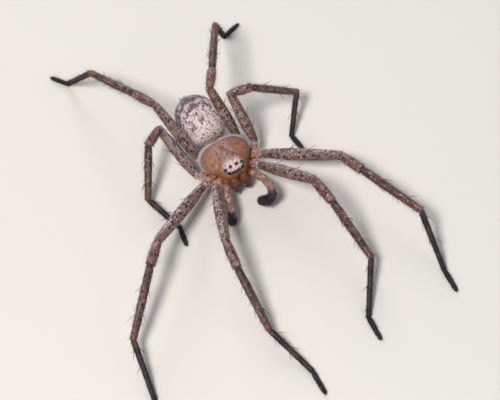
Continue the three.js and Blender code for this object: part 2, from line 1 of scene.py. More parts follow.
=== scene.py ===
"""A still, life-size huntsman spider with skin, hair, spines, eyes, jaws and claws.

Lengths are millimetres in the animal's own frame: the head looks along -Y, the animal's left side is +X and
its middle line is x = 0. Each mesh is moved to its place and brought to metres when it is finished.
"""

import logging
import math
from collections.abc import Callable, Sequence
from dataclasses import dataclass, field, replace
from enum import Enum, IntEnum
from functools import cached_property

import bmesh
import bpy
import numpy as np
from mathutils import Matrix, Vector


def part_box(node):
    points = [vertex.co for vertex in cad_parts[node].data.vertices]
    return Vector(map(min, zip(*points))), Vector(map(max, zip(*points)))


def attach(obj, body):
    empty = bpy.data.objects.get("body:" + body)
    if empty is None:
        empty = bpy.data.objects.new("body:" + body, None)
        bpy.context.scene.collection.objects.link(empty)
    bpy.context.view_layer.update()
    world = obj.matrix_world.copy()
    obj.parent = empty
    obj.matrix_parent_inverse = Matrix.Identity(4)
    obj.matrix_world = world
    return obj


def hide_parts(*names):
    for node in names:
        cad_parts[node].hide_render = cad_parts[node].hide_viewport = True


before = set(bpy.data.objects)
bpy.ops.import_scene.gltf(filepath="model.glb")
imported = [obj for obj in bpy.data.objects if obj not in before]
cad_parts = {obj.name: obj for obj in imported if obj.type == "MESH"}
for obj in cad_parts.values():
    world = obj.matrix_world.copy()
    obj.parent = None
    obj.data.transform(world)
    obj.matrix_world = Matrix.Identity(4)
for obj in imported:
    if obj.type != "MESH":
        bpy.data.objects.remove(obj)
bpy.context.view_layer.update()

Numbers = np.ndarray
Marks = dict[str, Numbers]
Point = tuple[float, float, float]
Span = tuple[float, float]
Row = tuple[float, ...]

MM = 0.001
TURN = 2 * math.pi
ROOT_BODY = "root"
WAIST_FRONT = 2.55
HAIR_MAP = "OFBake"
MAP_MARGIN = 0.02
PATTERN_RADIUS = 0.6
FLOOR_CLEARANCE = 0.006
MERGE_DISTANCE = 2e-5
HAIR_SIDES, HAIR_LEVELS = 3, (0.0, 0.45, 1.0)
SPINE_SIDES, SPINE_LEVELS = 8, (0.0, 0.12, 0.3, 0.5, 0.7, 0.88, 1.0)
TINY = 1e-6
log = logging.getLogger("huntsman")


def smooth(low: float, high: float, value: Numbers) -> Numbers:
    """Rise from 0 to 1 between low and high, with soft ends.

    Args:
        low: Where the rise starts.
        high: Where it ends.
        value: Numbers to judge.

    Returns:
        Shares from 0 to 1.
    """
    share = np.clip((value - low) / (high - low), 0.0, 1.0)
    return share * share * (3.0 - 2.0 * share)


def unit(vectors: Numbers) -> Numbers:
    """Vectors brought to length 1."""
    return vectors / np.maximum(np.linalg.norm(vectors, axis=-1, keepdims=True), TINY)


def dots(first: Numbers, second: Numbers) -> Numbers:
    """Row by row scalar products, as a column."""
    return np.sum(first * second, axis=-1, keepdims=True)


def as_points(*columns: Numbers) -> Numbers:
    """Coordinates, one array for each, as an array of points."""
    return np.stack(columns, axis=-1)


def on_map(share: Numbers) -> Numbers:
    """Places from 0 to 1 brought inside the flat map's margin."""
    return MAP_MARGIN + (1 - 2 * MAP_MARGIN) * share


def spline(values: Sequence[float], share: Numbers) -> Numbers:
    """Smooth profile through values at even steps.

    Args:
        values: The profile's values.
        share: Places along it, from 0 to 1.

    Returns:
        The profile at those places.
    """
    known = np.asarray(values, float)
    last = len(known) - 1
    place = np.clip(share, 0.0, 1.0) * last
    index = np.minimum(place.astype(int), last - 1)
    t = place - index
    before, near, far, beyond = (known[np.clip(index + i, 0, last)] for i in (-1, 0, 1, 2))
    rise, fall = (far - before) / 2, (beyond - near) / 2
    cubic = (2 * near - 2 * far + rise + fall) * t**3
    return cubic + (3 * far - 3 * near - 2 * rise - fall) * t**2 + rise * t + near


def ripples(places: Numbers, size: float, seed: int, count: int = 7) -> Numbers:
    """Soft lumps between about -1 and 1 that are the same each time.

    Args:
        places: Points in millimetres.
        size: Typical width of a lump.
        seed: Which set of lumps.
        count: How many waves are added.

    Returns:
        One number for each point.
    """
    draw = np.random.default_rng(seed)
    directions = unit(draw.normal(size=(count, 3)))
    pitch = TURN / (size * draw.uniform(0.7, 1.5, count))
    phase = draw.uniform(0, TURN, count)
    return np.sin(places @ directions.T * pitch + phase).sum(axis=1) / math.sqrt(count)


def linear(colour: str) -> tuple[float, float, float, float]:
    """Screen colour such as b4713f as the numbers that a shader takes."""
    shares = [int(colour[i : i + 2], 16) / 255 for i in (0, 2, 4)]
    return (*(s / 12.92 if s <= 0.04045 else ((s + 0.055) / 1.055) ** 2.4 for s in shares), 1.0)


def shift_to_frame() -> Vector:
    """Where the animal's own origin lies in the shared frame, in millimetres, read from the waist."""
    low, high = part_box("pedicel")
    return Vector(((low.x + high.x) / 2 / MM, low.y / MM - WAIST_FRONT, 0.0))


SHIFT = shift_to_frame()
TO_METRES = Matrix.Scale(MM, 4) @ Matrix.Translation(SHIFT)


def own_point(place: Vector) -> Numbers:
    """A point of the shared frame, in metres, brought to the animal's own frame."""
    return np.array(place / MM - SHIFT)


class Slot(Enum):
    """Material slots of the record."""

    CARAPACE = "carapace"
    UNDERSIDE = "underside"
    ABDOMEN = "abdomen"
    JAW = "jaw"
    FANG = "fang"
    PALP = "palp"
    EYE = "eye"
    LEG = "femur"
    FOOT = "tarsus"


class Seed(IntEnum):
    """First random draw of each kind of hair."""

    LEFT_PALP = 20
    RIGHT_PALP = 30
    SHIELD = 40
    CHEST = 61
    MOUTH = 62
    ABDOMEN = 70
    SPINNERETS = 80
    JAWS = 90
    LEGS = 100
    SPINES = 300


class Side(Enum):
    """Left and right halves of the animal."""

    LEFT = 1
    RIGHT = -1

    @property
    def letter(self) -> str:
        """Letter that node names carry."""
        return "l" if self is Side.LEFT else "r"


def added(name: str, data: bpy.types.ID) -> bpy.types.Object:
    """A new object, linked to the scene."""
    made = bpy.data.objects.new(name, data)
    bpy.context.scene.collection.objects.link(made)
    return made


def settle(name: str, mesh: bpy.types.Mesh, material: bpy.types.Material,
           nodes: Sequence[str] = ()) -> None:
    """Put a finished mesh into the scene as a piece of the animal.

    Args:
        name: Name of the piece.
        mesh: Its mesh, in place and in metres.
        material: Its finish.
        nodes: Solids that the piece stands for.
    """
    mesh.name = name
    piece = added(name, mesh)
    mesh.materials.clear()
    mesh.materials.append(material)
    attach(piece, ROOT_BODY)
    if nodes:
        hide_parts(*nodes)
    log.info("%s: %d faces", name, len(mesh.polygons))


class Form:
    """A closed surface addressed by two numbers from 0 to 1: around it from below, and along it."""

    step = 1e-3

    def places(self, around: Numbers, along: Numbers) -> Numbers:
        """Points on the surface, in millimetres."""
        raise NotImplementedError

    def rows(self) -> Numbers:
        """Places along the form where its skin has a row of vertices."""
        return np.linspace(0.0, 1.0, 97)

    def unwrap(self, around: Numbers, along: Numbers) -> Numbers:
        """Places on the flat map of the surface."""
        return as_points(on_map(around), on_map(along))

    def slopes(self, around: Numbers, along: Numbers) -> tuple[Numbers, Numbers]:
        """Change of place for a small step around and a small step along.

        Args:
            around: Places round it.
            along: Places along it.

        Returns:
            Both changes, for a whole unit.
        """
        half = self.step / 2
        low, high = np.clip(along - half, 0, 1), np.clip(along + half, 0, 1)
        across = self.places(around + half, along) - self.places(around - half, along)
        onward = self.places(around, high) - self.places(around, low)
        return across / self.step, onward / np.maximum(high - low, TINY)[:, None]

    def normals(self, around: Numbers, along: Numbers) -> Numbers:
        """Directions straight out of the surface."""
        across, onward = self.slopes(around, along)
        return unit(np.cross(onward, across))

    def lie(self, around: Numbers, along: Numbers) -> Numbers:
        """Directions in which the hair points."""
        return unit(self.slopes(around, along)[1])

    def marks(self, around: Numbers, along: Numbers) -> Marks:
        """Numbers that the finish reads: the place in the pattern, the part and how far up it faces.

        Args:
            around: Places round it.
            along: Places along it.

        Returns:
            One array for each mark.
        """
        return {
            "spot": self.places(around, along),
            "part": np.zeros(len(around)),
            "upper": self.normals(around, along)[:, 2],
        }

    def shape(self, columns: int) -> bmesh.types.BMesh:
        """Skin of the form as a closed mesh.

        Args:
            columns: Number of faces round the form.

        Returns:
            The mesh, in millimetres, with its map and the numbers for its finish.
        """
        levels = self.rows()
        skin = bmesh.new()
        bmesh.ops.create_grid(skin, x_segments=columns, y_segments=len(levels) - 1, size=0.5)
        flat = np.array([v.co[:] for v in skin.verts])
        around = flat[:, 0] + 0.5
        along = levels[np.rint((flat[:, 1] + 0.5) * (len(levels) - 1)).astype(int)]
        chart = self.unwrap(around, along)
        layer = skin.loops.layers.uv.new(HAIR_MAP)
        for face in skin.faces:
            face.smooth = True
            for loop in face.loops:
                loop[layer].uv = chart[loop.vert.index]
        places, kinds = self.places(around, along), skin.verts.layers
        marks = [((kinds.float_vector if values.ndim == 2 else kinds.float).new(name), values)
                 for name, values in self.marks(around, along).items()]
        for vertex in skin.verts:
            vertex.co = places[vertex.index]
            for mark, values in marks:
                vertex[mark] = values[vertex.index]
        bmesh.ops.remove_doubles(skin, verts=skin.verts, dist=MERGE_DISTANCE)
        bmesh.ops.recalc_face_normals(skin, faces=skin.faces)
        return skin


def meshed(skins: Sequence[bmesh.types.BMesh]) -> bpy.types.Mesh:
    """Several shapes in millimetres as one mesh in metres, in its place.

    Args:
        skins: Shapes to join. They are freed.

    Returns:
        The joined mesh.
    """
    whole = bmesh.new()
    for skin in skins:
        loose = bpy.data.meshes.new("loose")
        skin.to_mesh(loose)
        skin.free()
        whole.from_mesh(loose)
        bpy.data.meshes.remove(loose)
    bmesh.ops.transform(whole, matrix=TO_METRES, verts=whole.verts)
    mesh = bpy.data.meshes.new("whole")
    whole.to_mesh(mesh)
    whole.free()
    return mesh


@dataclass(frozen=True)
class Collar:
    """How a limb's girth changes at a joint: a firm rim, then a narrow soft neck."""

    neck: float = 0.8
    neck_length: float = 0.55
    rim: float = 0.86
    rim_length: float = 0.13
    tip_length: float = 0.3


class Tube(Form):
    """A limb through joints, with slanted cuts at its bends, as one closed skin."""

    flatten = 0.93
    knee_overhang = 0.5
    row_step = 0.24
    strip_margin = 0.06
    joint_rows = (0.0, 0.03, 0.075, 0.14, 0.23, 0.35, 0.5)

    def __init__(self, joints: Sequence[Point], radii: Sequence[Sequence[float]], collar: Collar = Collar(),
                 floor: float = -math.inf, upright: int = 0, offset: float = 0.0,
                 soft: Sequence[int] | None = None) -> None:
        """Work out the directions of each part.

        Args:
            joints: Places of the joints from the root to the tip.
            radii: For each part, its radius at even steps.
            collar: Shape at the joints.
            floor: Level that no point goes below.
            upright: Part whose sides are set level, from which the others follow.
            offset: Where the pattern starts along the limb.
            soft: Joints with a collar, or all of them.
        """
        self.joints = np.array(joints, float)
        self.radii, self.collar, self.floor, self.offset = radii, collar, floor, offset
        self.handed = 1 if self.joints[-1, 0] > 0 else -1
        ends = np.diff(self.joints, axis=0)
        self.lengths = np.linalg.norm(ends, axis=1)
        self.axes = unit(ends)
        self.count = len(self.axes)
        self.soft = np.array([soft is None or i in soft for i in range(self.count + 1)])
        self.starts = np.concatenate([[0.0], np.cumsum(self.lengths)])[:-1]
        sides: list[Vector] = [Vector()] * self.count
        axes = [Vector(axis) for axis in self.axes]
        sides[upright] = axes[upright].cross(Vector((0, 0, 1))).normalized()
        for i in range(upright + 1, self.count):
            sides[i] = axes[i - 1].rotation_difference(axes[i]) @ sides[i - 1]
        for i in range(upright - 1, -1, -1):
            sides[i] = axes[i + 1].rotation_difference(axes[i]) @ sides[i + 1]
        self.sides = np.array(sides)
        self.downs = np.cross(self.axes, self.sides)
        planes = unit(self.axes[:-1] + self.axes[1:])
        self.first_planes = np.vstack([self.axes[:1], planes])
        self.last_planes = np.vstack([planes, self.axes[-1:]])

    def split(self, along: Numbers) -> tuple[Numbers, Numbers]:
        """Part number and share of that part.

        Args:
            along: Places along it.

        Returns:
            Both, for each place.
        """
        place = np.clip(along, 0.0, 1.0) * self.count
        index = np.minimum(place.astype(int), self.count - 1)
        return index, place - index

    def radius(self, index: Numbers, share: Numbers) -> Numbers:
        """Radius of the limb, with its collars and its closed ends.

        Args:
            index: Part of each place.
            share: Share of that part.

        Returns:
            Radii in millimetres.
        """
        result = np.zeros(len(index))
        for part in range(self.count):
            own = index == part
            result[own] = spline(self.radii[part], share[own])
        gone = share * self.lengths[index]
        left = (1.0 - share) * self.lengths[index]
        shape = self.collar
        neck = shape.neck + (1 - shape.neck) * smooth(0.0, shape.neck_length, gone)
        rim = shape.rim + (1 - shape.rim) * np.sqrt(np.clip(left / shape.rim_length, 0, 1))
        result *= np.where(self.soft[index] & (index > 0), neck, 1.0)
        result *= np.where(self.soft[index + 1] & (index < self.count - 1), rim, 1.0)
        root = np.where(index == 0, gone, shape.tip_length)
        tip = np.where(index == self.count - 1, left, shape.tip_length)
        for away in (root, tip):
            open_share = 1.0 - np.clip(away / shape.tip_length, 0.0, 1.0)
            result *= np.sqrt(np.maximum(0.0, 1.0 - open_share**2))
        return result

    def places(self, around: Numbers, along: Numbers) -> Numbers:
        """Points on the limb.

        Args:
            around: Places round it.
            along: Places along it.

        Returns:
            Points in millimetres.
        """
        index, share = self.split(along)
        radius = self.radius(index, share)[:, None]
        angle = (TURN * around)[:, None]
        offset = self.sides[index] * np.sin(angle) * radius * self.flatten
        offset = offset + self.downs[index] * np.cos(angle) * radius
        axis, first, last = self.axes[index], self.first_planes[index], self.last_planes[index]
        reach = radius * self.knee_overhang
        near = np.maximum(-dots(offset, first) / dots(axis, first), -reach)
        far = np.minimum(-dots(offset, last) / dots(axis, last), reach) + self.lengths[index][:, None]
        share = share[:, None]
        result = self.joints[index] + offset + axis * (near * (1 - share) + far * share)
        result[:, 2] = np.maximum(result[:, 2], self.floor)
        return result

    def rows(self) -> Numbers:
        """Rows close together at the joints and even between them.

        Returns:
            Places along the limb.
        """
        levels: list[float] = []
        for part, length in enumerate(self.lengths):
            near = [d for d in self.joint_rows if d < length / 2]
            middle = np.linspace(near[-1], length - near[-1], max(2, round(length / self.row_step)))[1:-1]
            spots = [*near, *middle, *(length - d for d in reversed(near))]
            shares = np.clip(np.array(spots) / length, TINY, 1 - TINY)
            levels += list((part + shares) / self.count)
        levels[0], levels[-1] = 0.0, 1.0
        return np.array(levels)

    def unwrap(self, around: Numbers, along: Numbers) -> Numbers:
        """Flat map with one upright strip for each part.

        Args:
            around: Places round it.
            along: Places along it.

        Returns:
            Places on the map.
        """
        index, share = self.split(along)
        strip = self.strip_margin + (1 - 2 * self.strip_margin) * around
        return as_points((index + strip) / self.count, on_map(share))

    def marks(self, around: Numbers, along: Numbers) -> Marks:
        """Pattern place on the limb laid out straight.

        Args:
            around: Places round it.
            along: Places along it.

        Returns:
            One array for each mark.
        """
        index, share = self.split(along)
        angle = TURN * around
        straight = self.starts[index] + share * self.lengths[index] + self.offset
        upper, forward = -np.cos(angle), np.sin(angle) * self.handed
        spot = as_points(straight, upper * PATTERN_RADIUS, forward * PATTERN_RADIUS)
        return {"spot": spot, "part": index + share, "upper": upper}


class Outline:
    """A closed smooth outline, the same on both sides, as a distance for each angle."""

    def __init__(self, half: Sequence[Span]) -> None:
        """Lay a smooth curve through the right half and its mirror image.

        Args:
            half: Points from the front middle over the right side to the rear middle.
        """
        points = np.array([*half, *((-x, y) for x, y in reversed(half[1:-1]))])
        self.middle = (half[0][1] + half[-1][1]) / 2
        steps = np.linspace(0, 1, 24, endpoint=False)[:, None]
        curve = []
        for i in range(len(points)):
            a, b, c, d = (points[(i + k) % len(points)] for k in (-1, 0, 1, 2))
            cubic = (3 * b - 3 * c + d - a) * steps**3 + (2 * a - 5 * b + 4 * c - d) * steps**2
            curve.append((cubic + (c - a) * steps + 2 * b) / 2)
        line = np.vstack(curve) - [0.0, self.middle]
        angle = np.arctan2(line[:, 1], line[:, 0])
        order = np.argsort(angle)
        self.angles = angle[order]
        self.distances = np.hypot(line[:, 0], line[:, 1])[order]

    def reach(self, angle: Numbers) -> Numbers:
        """Distance from the middle to the outline."""
        return np.interp(angle, self.angles, self.distances, period=TURN)


@dataclass(frozen=True)
class Plate(Form):
    """A closed shape inside an outline, from the middle of its top over its rim to the middle below."""

    half: tuple[Span, ...]
    edge: float

    @cached_property
    def outline(self) -> Outline:
        """The rim seen from above."""
        return Outline(self.half)

    def seen_from_above(self, around: Numbers, out: Numbers,
                        swell: Numbers | float = 1.0) -> tuple[Numbers, Numbers]:
        """Places to the left and backwards.

        Args:
            around: Places round it.
            out: Distance from the middle as a share of the rim's.
            swell: How far it stands out beyond that.

        Returns:
            Both, in millimetres.
        """
        angle = TURN * around - math.pi / 2
        reach = self.outline.reach(angle) * out * self.edge * swell
        return np.cos(angle) * reach, self.outline.middle + np.sin(angle) * reach


@dataclass(frozen=True)
class CarapaceForm(Plate):
    """The domed shield over head and chest, with its fovea, head grooves and faint spokes."""

    half: tuple[Span, ...] = (
        (0, -3.5), (1.3, -3.4), (1.98, -2.88), (2.4, -2.1), (3.1, -1.25), (3.74, -0.1),
        (3.9, 1.0), (3.45, 2.1), (2.6, 2.88), (1.3, 3.3), (0, 3.28),
    )
    rim: float = 3.85
    top: float = 5.75
    crown_side: float = 2.7
    crown_head: float = 7.5
    crown_power: float = 0.55
    head_from: float = 0.2
    head_to: float = 2.6
    fovea_y: float = 1.3
    fovea_length: float = 0.9
    fovea_width: float = 0.42
    fovea_depth: float = 0.3
    groove_side: float = 2.4
    groove_reach: float = 2.9
    groove_back: float = 0.9
    groove_front: float = 0.4
    groove_width: float = 0.45
    groove_depth: float = 0.16
    under: float = 0.35
    edge: float = 0.985
    edge_lip: float = 0.05
    spokes: int = 4
    spokes_from: Span = (0.3, 0.6)
    spokes_to: Span = (0.8, 0.98)
    spoke_depth: float = 0.035
    lump: float = 0.018
    lump_size: float = 0.9
    lip_width: float = 0.02
    hair_turn: Span = (0.35, 0.9)
    map_reach: float = 0.42
    map_under: float = 0.12

    def height(self, out: Numbers, x: Numbers, y: Numbers) -> Numbers:
        """Height of the shield above a place inside its rim.

        Args:
            out: Distance from the middle as a share of the rim's.
            x: Place to the animal's left.
            y: Place backwards.

        Returns:
            Heights in millimetres.
        """
        head = smooth(self.head_from, self.head_to, -y)
        crown = self.crown_side + (self.crown_head - self.crown_side) * head
        rise = np.maximum(0.0, 1.0 - out**crown) ** self.crown_power
        from_fovea = np.hypot(x / self.fovea_width, (y - self.fovea_y) / self.fovea_length)
        fovea = self.fovea_depth * np.exp(-(from_fovea**2))
        groove_x = (self.groove_back - y) * self.groove_side / self.groove_reach
        from_groove = (np.abs(x) - groove_x) / self.groove_width
        on_head = smooth(-self.groove_back, self.groove_front, -y)
        groove = self.groove_depth * np.exp(-(from_groove**2)) * on_head
        turn = np.arctan2(np.abs(x), y - self.fovea_y)
        between = smooth(*self.spokes_from, out) * (1 - smooth(*self.spokes_to, out))
        spoke = np.cos(turn * self.spokes * 2) * between
        relief = fovea + groove + self.spoke_depth * spoke * (1 - head)
        return self.rim + (self.top - self.rim - relief) * rise

    def places(self, around: Numbers, along: Numbers) -> Numbers:
        """Points from the crown over the rim to the hidden underside.

        Args:
            around: Places round it.
            along: Places along it.

        Returns:
            Points in millimetres.
        """
        polar = along * math.pi
        level, out = np.cos(polar), np.sin(polar)
        x, y = self.seen_from_above(around, out)
        top = self.height(np.minimum(out, 1.0), x, y)
        top = top + self.lump * ripples(as_points(x, y, top), self.lump_size, 3) * (1 - out**6)
        lip = self.edge_lip * np.exp(-(((out - self.edge) / self.lip_width) ** 2))
        below = self.rim + self.under * level
        return as_points(x, y, np.where(level > 0, top + lip, below))

    def marks(self, around: Numbers, along: Numbers) -> Marks:
        """Pattern place, with the distance from the middle as a share of the rim's for the part."""
        return {**super().marks(around, along), "part": np.sin(np.minimum(along, 0.5) * math.pi)}

    def rows(self) -> Numbers:
        """Even rows over the dome, with few below it."""
        return np.concatenate([np.linspace(0.0, 0.5, 90), np.linspace(0.53, 1.0, 14)])

    def lie(self, around: Numbers, along: Numbers) -> Numbers:
        """Hair lies from the eyes backwards, and outwards on the sides and at the rim.

        Args:
            around: Places round it.
            along: Places along it.

        Returns:
            Vectors of length 1.
        """
        place = self.places(around, along)
        least, more = self.hair_turn
        outward = least + more * smooth(0.36, 0.48, along)
        backward = as_points(place[:, 0] * outward, np.ones(len(place)), np.zeros(len(place)))
        normal = self.normals(around, along)
        return unit(backward - normal * dots(backward, normal))

    def unwrap(self, around: Numbers, along: Numbers) -> Numbers:
        """Flat map seen from above, with the underside in the corners' band.

        Args:
            around: Places round it.
            along: Places along it.

        Returns:
            Places on the map.
        """
        angle = TURN * around
        under = self.map_reach + (along - 0.5) * self.map_under
        reach = np.where(along <= 0.5, along * 2 * self.map_reach, under)
        return as_points(0.5 + np.sin(angle) * reach, 0.5 - np.cos(angle) * reach)


@dataclass(frozen=True)
class AbdomenForm(Form):
    """The soft oval abdomen, its front end over the waist."""

    y: float = 8.15
    z: float = 3.95
    wide: float = 3.27
    long: float = 4.52
    high: float = 2.57
    belly: float = 2.36
    swell_wide: float = 0.09
    swell_high: float = 0.054
    bluntness: float = 2.6
    turn: float = 3.0
    turn_y: float = 3.6
    wrinkle: float = 0.028
    folds: Span = (0.8, 0.35)
    dimple_depth: float = 0.06
    dimple_size: float = 0.2
    dimples: tuple[Span, ...] = ((0.7, -1.9), (0.95, -0.2), (0.8, 1.3))

    def own(self, around: Numbers, along: Numbers) -> Numbers:
        """Points from the abdomen's own middle, before it is turned on the waist.

        Args:
            around: Places round it.
            along: Places along it.

        Returns:
            Points in millimetres.
        """
        polar = along * math.pi
        b, ring = -np.cos(polar), np.sin(polar)
        forward = np.clip(-b, 0.0, 1.0)
        ring = np.where(b < 0, (1 - forward**self.bluntness) ** (1 / self.bluntness), ring)
        angle = TURN * around
        a, c = np.sin(angle) * ring, -np.cos(angle) * ring
        high = np.where(c > 0, self.high, self.belly)
        x = a * self.wide * (1 + self.swell_wide * b)
        z = c * high * (1 + self.swell_high * b)
        place = as_points(x, b * self.long, z)
        inward = np.zeros(len(around))
        for dimple_x, dimple_y in self.dimples:
            away = np.hypot(np.abs(x) - dimple_x, place[:, 1] - dimple_y) / self.dimple_size
            inward += self.dimple_depth * np.exp(-(away**2)) * (c > 0)
        broad, narrow = self.folds
        folds = ripples(place * [1.0, 2.2, 1.0], broad, 5)
        folds = folds + 0.6 * ripples(place * [2.0, 1.0, 2.0], narrow, 6)
        inward += self.wrinkle * folds * ring
        return place - unit(place) * inward[:, None]

    def places(self, around: Numbers, along: Numbers) -> Numbers:
        """Points on the abdomen in the animal's frame.

        Args:
            around: Places round it.
            along: Places along it.

        Returns:
            Points in millimetres.
        """
        turn = math.radians(self.turn)
        x, y, z = self.own(around, along).T
        y = y + self.y - self.turn_y
        side, back = math.sin(turn), math.cos(turn)
        return as_points(x * back - y * side, x * side + y * back + self.turn_y, z + self.z)

    def marks(self, around: Numbers, along: Numbers) -> Marks:
        """Pattern place in the abdomen's own frame."""
        return {**super().marks(around, along), "spot": self.own(around, along), "part": along}

    def rows(self) -> Numbers:
        """Even rows from the waist to the rear."""
        return np.linspace(0.0, 1.0, 121)


@dataclass(frozen=True)
class TrunkForm(Plate):
    """The chest between sternum and shield, where the legs grow out."""

    half: tuple[Span, ...] = (
        (0, -1.85), (0.9, -1.8), (1.5, -1.35), (1.85, -0.4), (1.8, 0.6), (1.3, 1.6), (0.6, 2.15), (0, 2.25),
    )
    top: float = 4.3
    bottom: float = 1.77
    edge: float = 0.99
    flare: float = 0.25
    roundness: float = 0.42

    def places(self, around: Numbers, along: Numbers) -> Numbers:
        """Points from the hidden top down the sides to the middle of the sternum.

        Args:
            around: Places round it.
            along: Places along it.

        Returns:
            Points in millimetres.
        """
        polar = along * math.pi
        level, out = np.cos(polar), np.sin(polar)
        height = np.sign(level) * np.abs(level) ** self.roundness
        middle, half = (self.top + self.bottom) / 2, (self.top - self.bottom) / 2
        x, y = self.seen_from_above(around, out, 1 + self.flare * smooth(-0.2, 0.9, height))
        return as_points(x, y, middle + half * height)

    def rows(self) -> Numbers:
        """Even rows."""
        return np.linspace(0.0, 1.0, 49)


@dataclass(frozen=True)
class Blades:
    """Many thin tapering hairs or spines as arrays, one row for each."""

    roots: Numbers
    outward: Numbers
    lie: Numbers
    length: Numbers
    width: Numbers
    lift: Numbers
    droop: Numbers
    chart: Numbers
    marks: Marks

    @staticmethod
    def joined(groups: Sequence["Blades"]) -> "Blades":
        """Several groups as one.

        Args:
            groups: Hairs with the same marks.

        Returns:
            All of them.
        """
        names = ("roots", "outward", "lie", "length", "width", "lift", "droop", "chart")
        arrays = {name: np.concatenate([getattr(group, name) for group in groups]) for name in names}
        marks = {key: np.concatenate([group.marks[key] for group in groups]) for key in groups[0].marks}
        return Blades(**arrays, marks=marks)

    def mesh(self, sides: int, levels: Sequence[float], sunk: float = 0.03, taper: float = 1.4,
             patch: float = 0.0015) -> bpy.types.Mesh:
        """One mesh of closed, curved blades.

        Args:
            sides: Sides of each blade.
            levels: Shares of the length where a blade has a ring, the last one being its tip.
            sunk: How deep the roots sit.
            taper: How long a blade stays thick.
            patch: Half the width of a blade's patch on the flat map.

        Returns:
            The mesh in metres, with its map and the numbers for its finish.
        """
        count = len(self.roots)
        lift, droop = self.lift[:, None], self.droop[:, None]
        start = self.lie * np.cos(lift) + self.outward * np.sin(lift)
        root = self.roots - self.outward * sunk
        length, width = self.length[:, None], self.width[:, None]
        turns = TURN * np.arange(sides) / sides
        rings = []
        for level in levels:
            centre = root + start * length * level - self.outward * length * droop * level**2
            heading = unit(start - 2 * droop * level * self.outward)
            across = unit(np.cross(heading, self.outward + TINY))
            upward = np.cross(across, heading)
            if level == levels[-1]:
                rings.append(centre[:, None, :])
                continue
            radius = (width / 2 * (1 - level**taper))[:, None, :]
            spread = across[:, None, :] * np.cos(turns)[None, :, None]
            spread = spread + upward[:, None, :] * np.sin(turns)[None, :, None]
            rings.append(centre[:, None, :] + spread * radius)
        points = np.concatenate(rings, axis=1)
        points[:, :, 2] = np.maximum(points[:, :, 2], FLOOR_CLEARANCE)
        corners = points.shape[1]
        template = self.faces(sides, len(levels))
        faces = (template[None] + (np.arange(count) * corners)[:, None, None]).reshape(-1, 3)
        mesh = bpy.data.meshes.new("blades")
        places = (points.reshape(-1, 3) + np.array(SHIFT)) * MM
        mesh.from_pydata(places.tolist(), [], faces.tolist())
        mesh.polygons.foreach_set("use_smooth", np.ones(len(faces), bool))
        level_of = np.concatenate([np.repeat(levels[:-1], sides), [levels[-1]]])
        swing = np.concatenate([np.tile(turns, len(levels) - 1), [0.0]])
        ring = np.where(level_of < levels[-1], 0.45 + 0.55 * (1 - level_of), 0.0)
        local = as_points(np.cos(swing) * ring, (2 * level_of - 1) * 0.8 + np.sin(swing) * ring * 0.2)
        chart = self.chart[:, None, :] + local[None] * patch
        layer = mesh.uv_layers.new(name=HAIR_MAP)
        loops = np.zeros(len(mesh.loops), np.int32)
        mesh.loops.foreach_get("vertex_index", loops)
        layer.data.foreach_set("uv", chart.reshape(-1, 2)[loops].astype(np.float32).ravel())
        marks = {**self.marks, "tip": None}
        for name, values in marks.items():
            full = np.tile(level_of, count) if values is None else np.repeat(values, corners, axis=0)
            kind, key = ("FLOAT_VECTOR", "vector") if full.ndim == 2 else ("FLOAT", "value")
            data = mesh.attributes.new(name, kind, "POINT").data
            data.foreach_set(key, full.astype(np.float32).ravel())
        mesh.validate()
        return mesh

    @staticmethod
    def faces(sides: int, levels: int) -> Numbers:
        """Triangles of one blade: its root, its walls and its tip.

        Args:
            sides: Sides of the blade.
            levels: How many rings it has, with its tip.

        Returns:
            Corner numbers, three for each face.
        """
        found = [(0, i, i + 1) for i in range(1, sides - 1)]
        for ring in range(levels - 2):
            low, high = ring * sides, (ring + 1) * sides
            for i in range(sides):
                j = (i + 1) % sides
                found += [(low + j, low + i, high + j), (high + j, low + i, high + i)]
        last, tip = (levels - 2) * sides, (levels - 1) * sides
        found += [(last + (i + 1) % sides, last + i, tip) for i in range(sides)]
        return np.array(found)


@dataclass(frozen=True)
class Pile:
    """How one kind of hair grows: sizes in millimetres, angles in degrees."""

    count: int
    length: Span
    width: float
    lift: Span
    droop: float = 0.12
    stray: float = 18.0
    pale: float = 0.0
    where: Callable[[Marks, Numbers], Numbers] | None = None
    span: Span = (0.0, 1.0)

    def grow(self, form: Form, seed: int, tries: int = 12) -> Blades:
        """Set this hair on a form, evenly over its area.

        Args:
            form: The surface that carries it.
            seed: Which draw.
            tries: Candidates for each hair.

        Returns:
            The hairs.
        """
        draw = np.random.default_rng(seed)
        around = draw.uniform(size=self.count * tries)
        along = draw.uniform(*self.span, self.count * tries)
        across, onward = form.slopes(around, along)
        weight = np.linalg.norm(np.cross(across, onward), axis=1)
        if self.where is not None:
            weight = weight * self.where(form.marks(around, along), form.places(around, along))
        weight = np.maximum(weight, 0)
        picked = draw.choice(len(around), self.count, replace=False, p=weight / weight.sum())
        around, along = around[picked], along[picked]
        normal, lie = form.normals(around, along), form.lie(around, along)
        stray = np.radians(draw.normal(0, self.stray, self.count))[:, None]
        lie = lie * np.cos(stray) + np.cross(normal, lie) * np.sin(stray)
        size = draw.uniform(*self.length, self.count)
        marks = form.marks(around, along)
        marks["tone"] = draw.uniform(size=self.count)
        marks["pale"] = np.full(self.count, self.pale)
        return Blades(
            roots=form.places(around, along), outward=normal, lie=lie, length=size,
            width=self.width * draw.uniform(0.75, 1.2, self.count),
            lift=np.radians(draw.uniform(*self.lift, self.count)),
            droop=np.full(self.count, self.droop) * draw.uniform(0.5, 1.5, self.count),
            chart=form.unwrap(around, along), marks=marks,
        )


Value = "Wire | float"


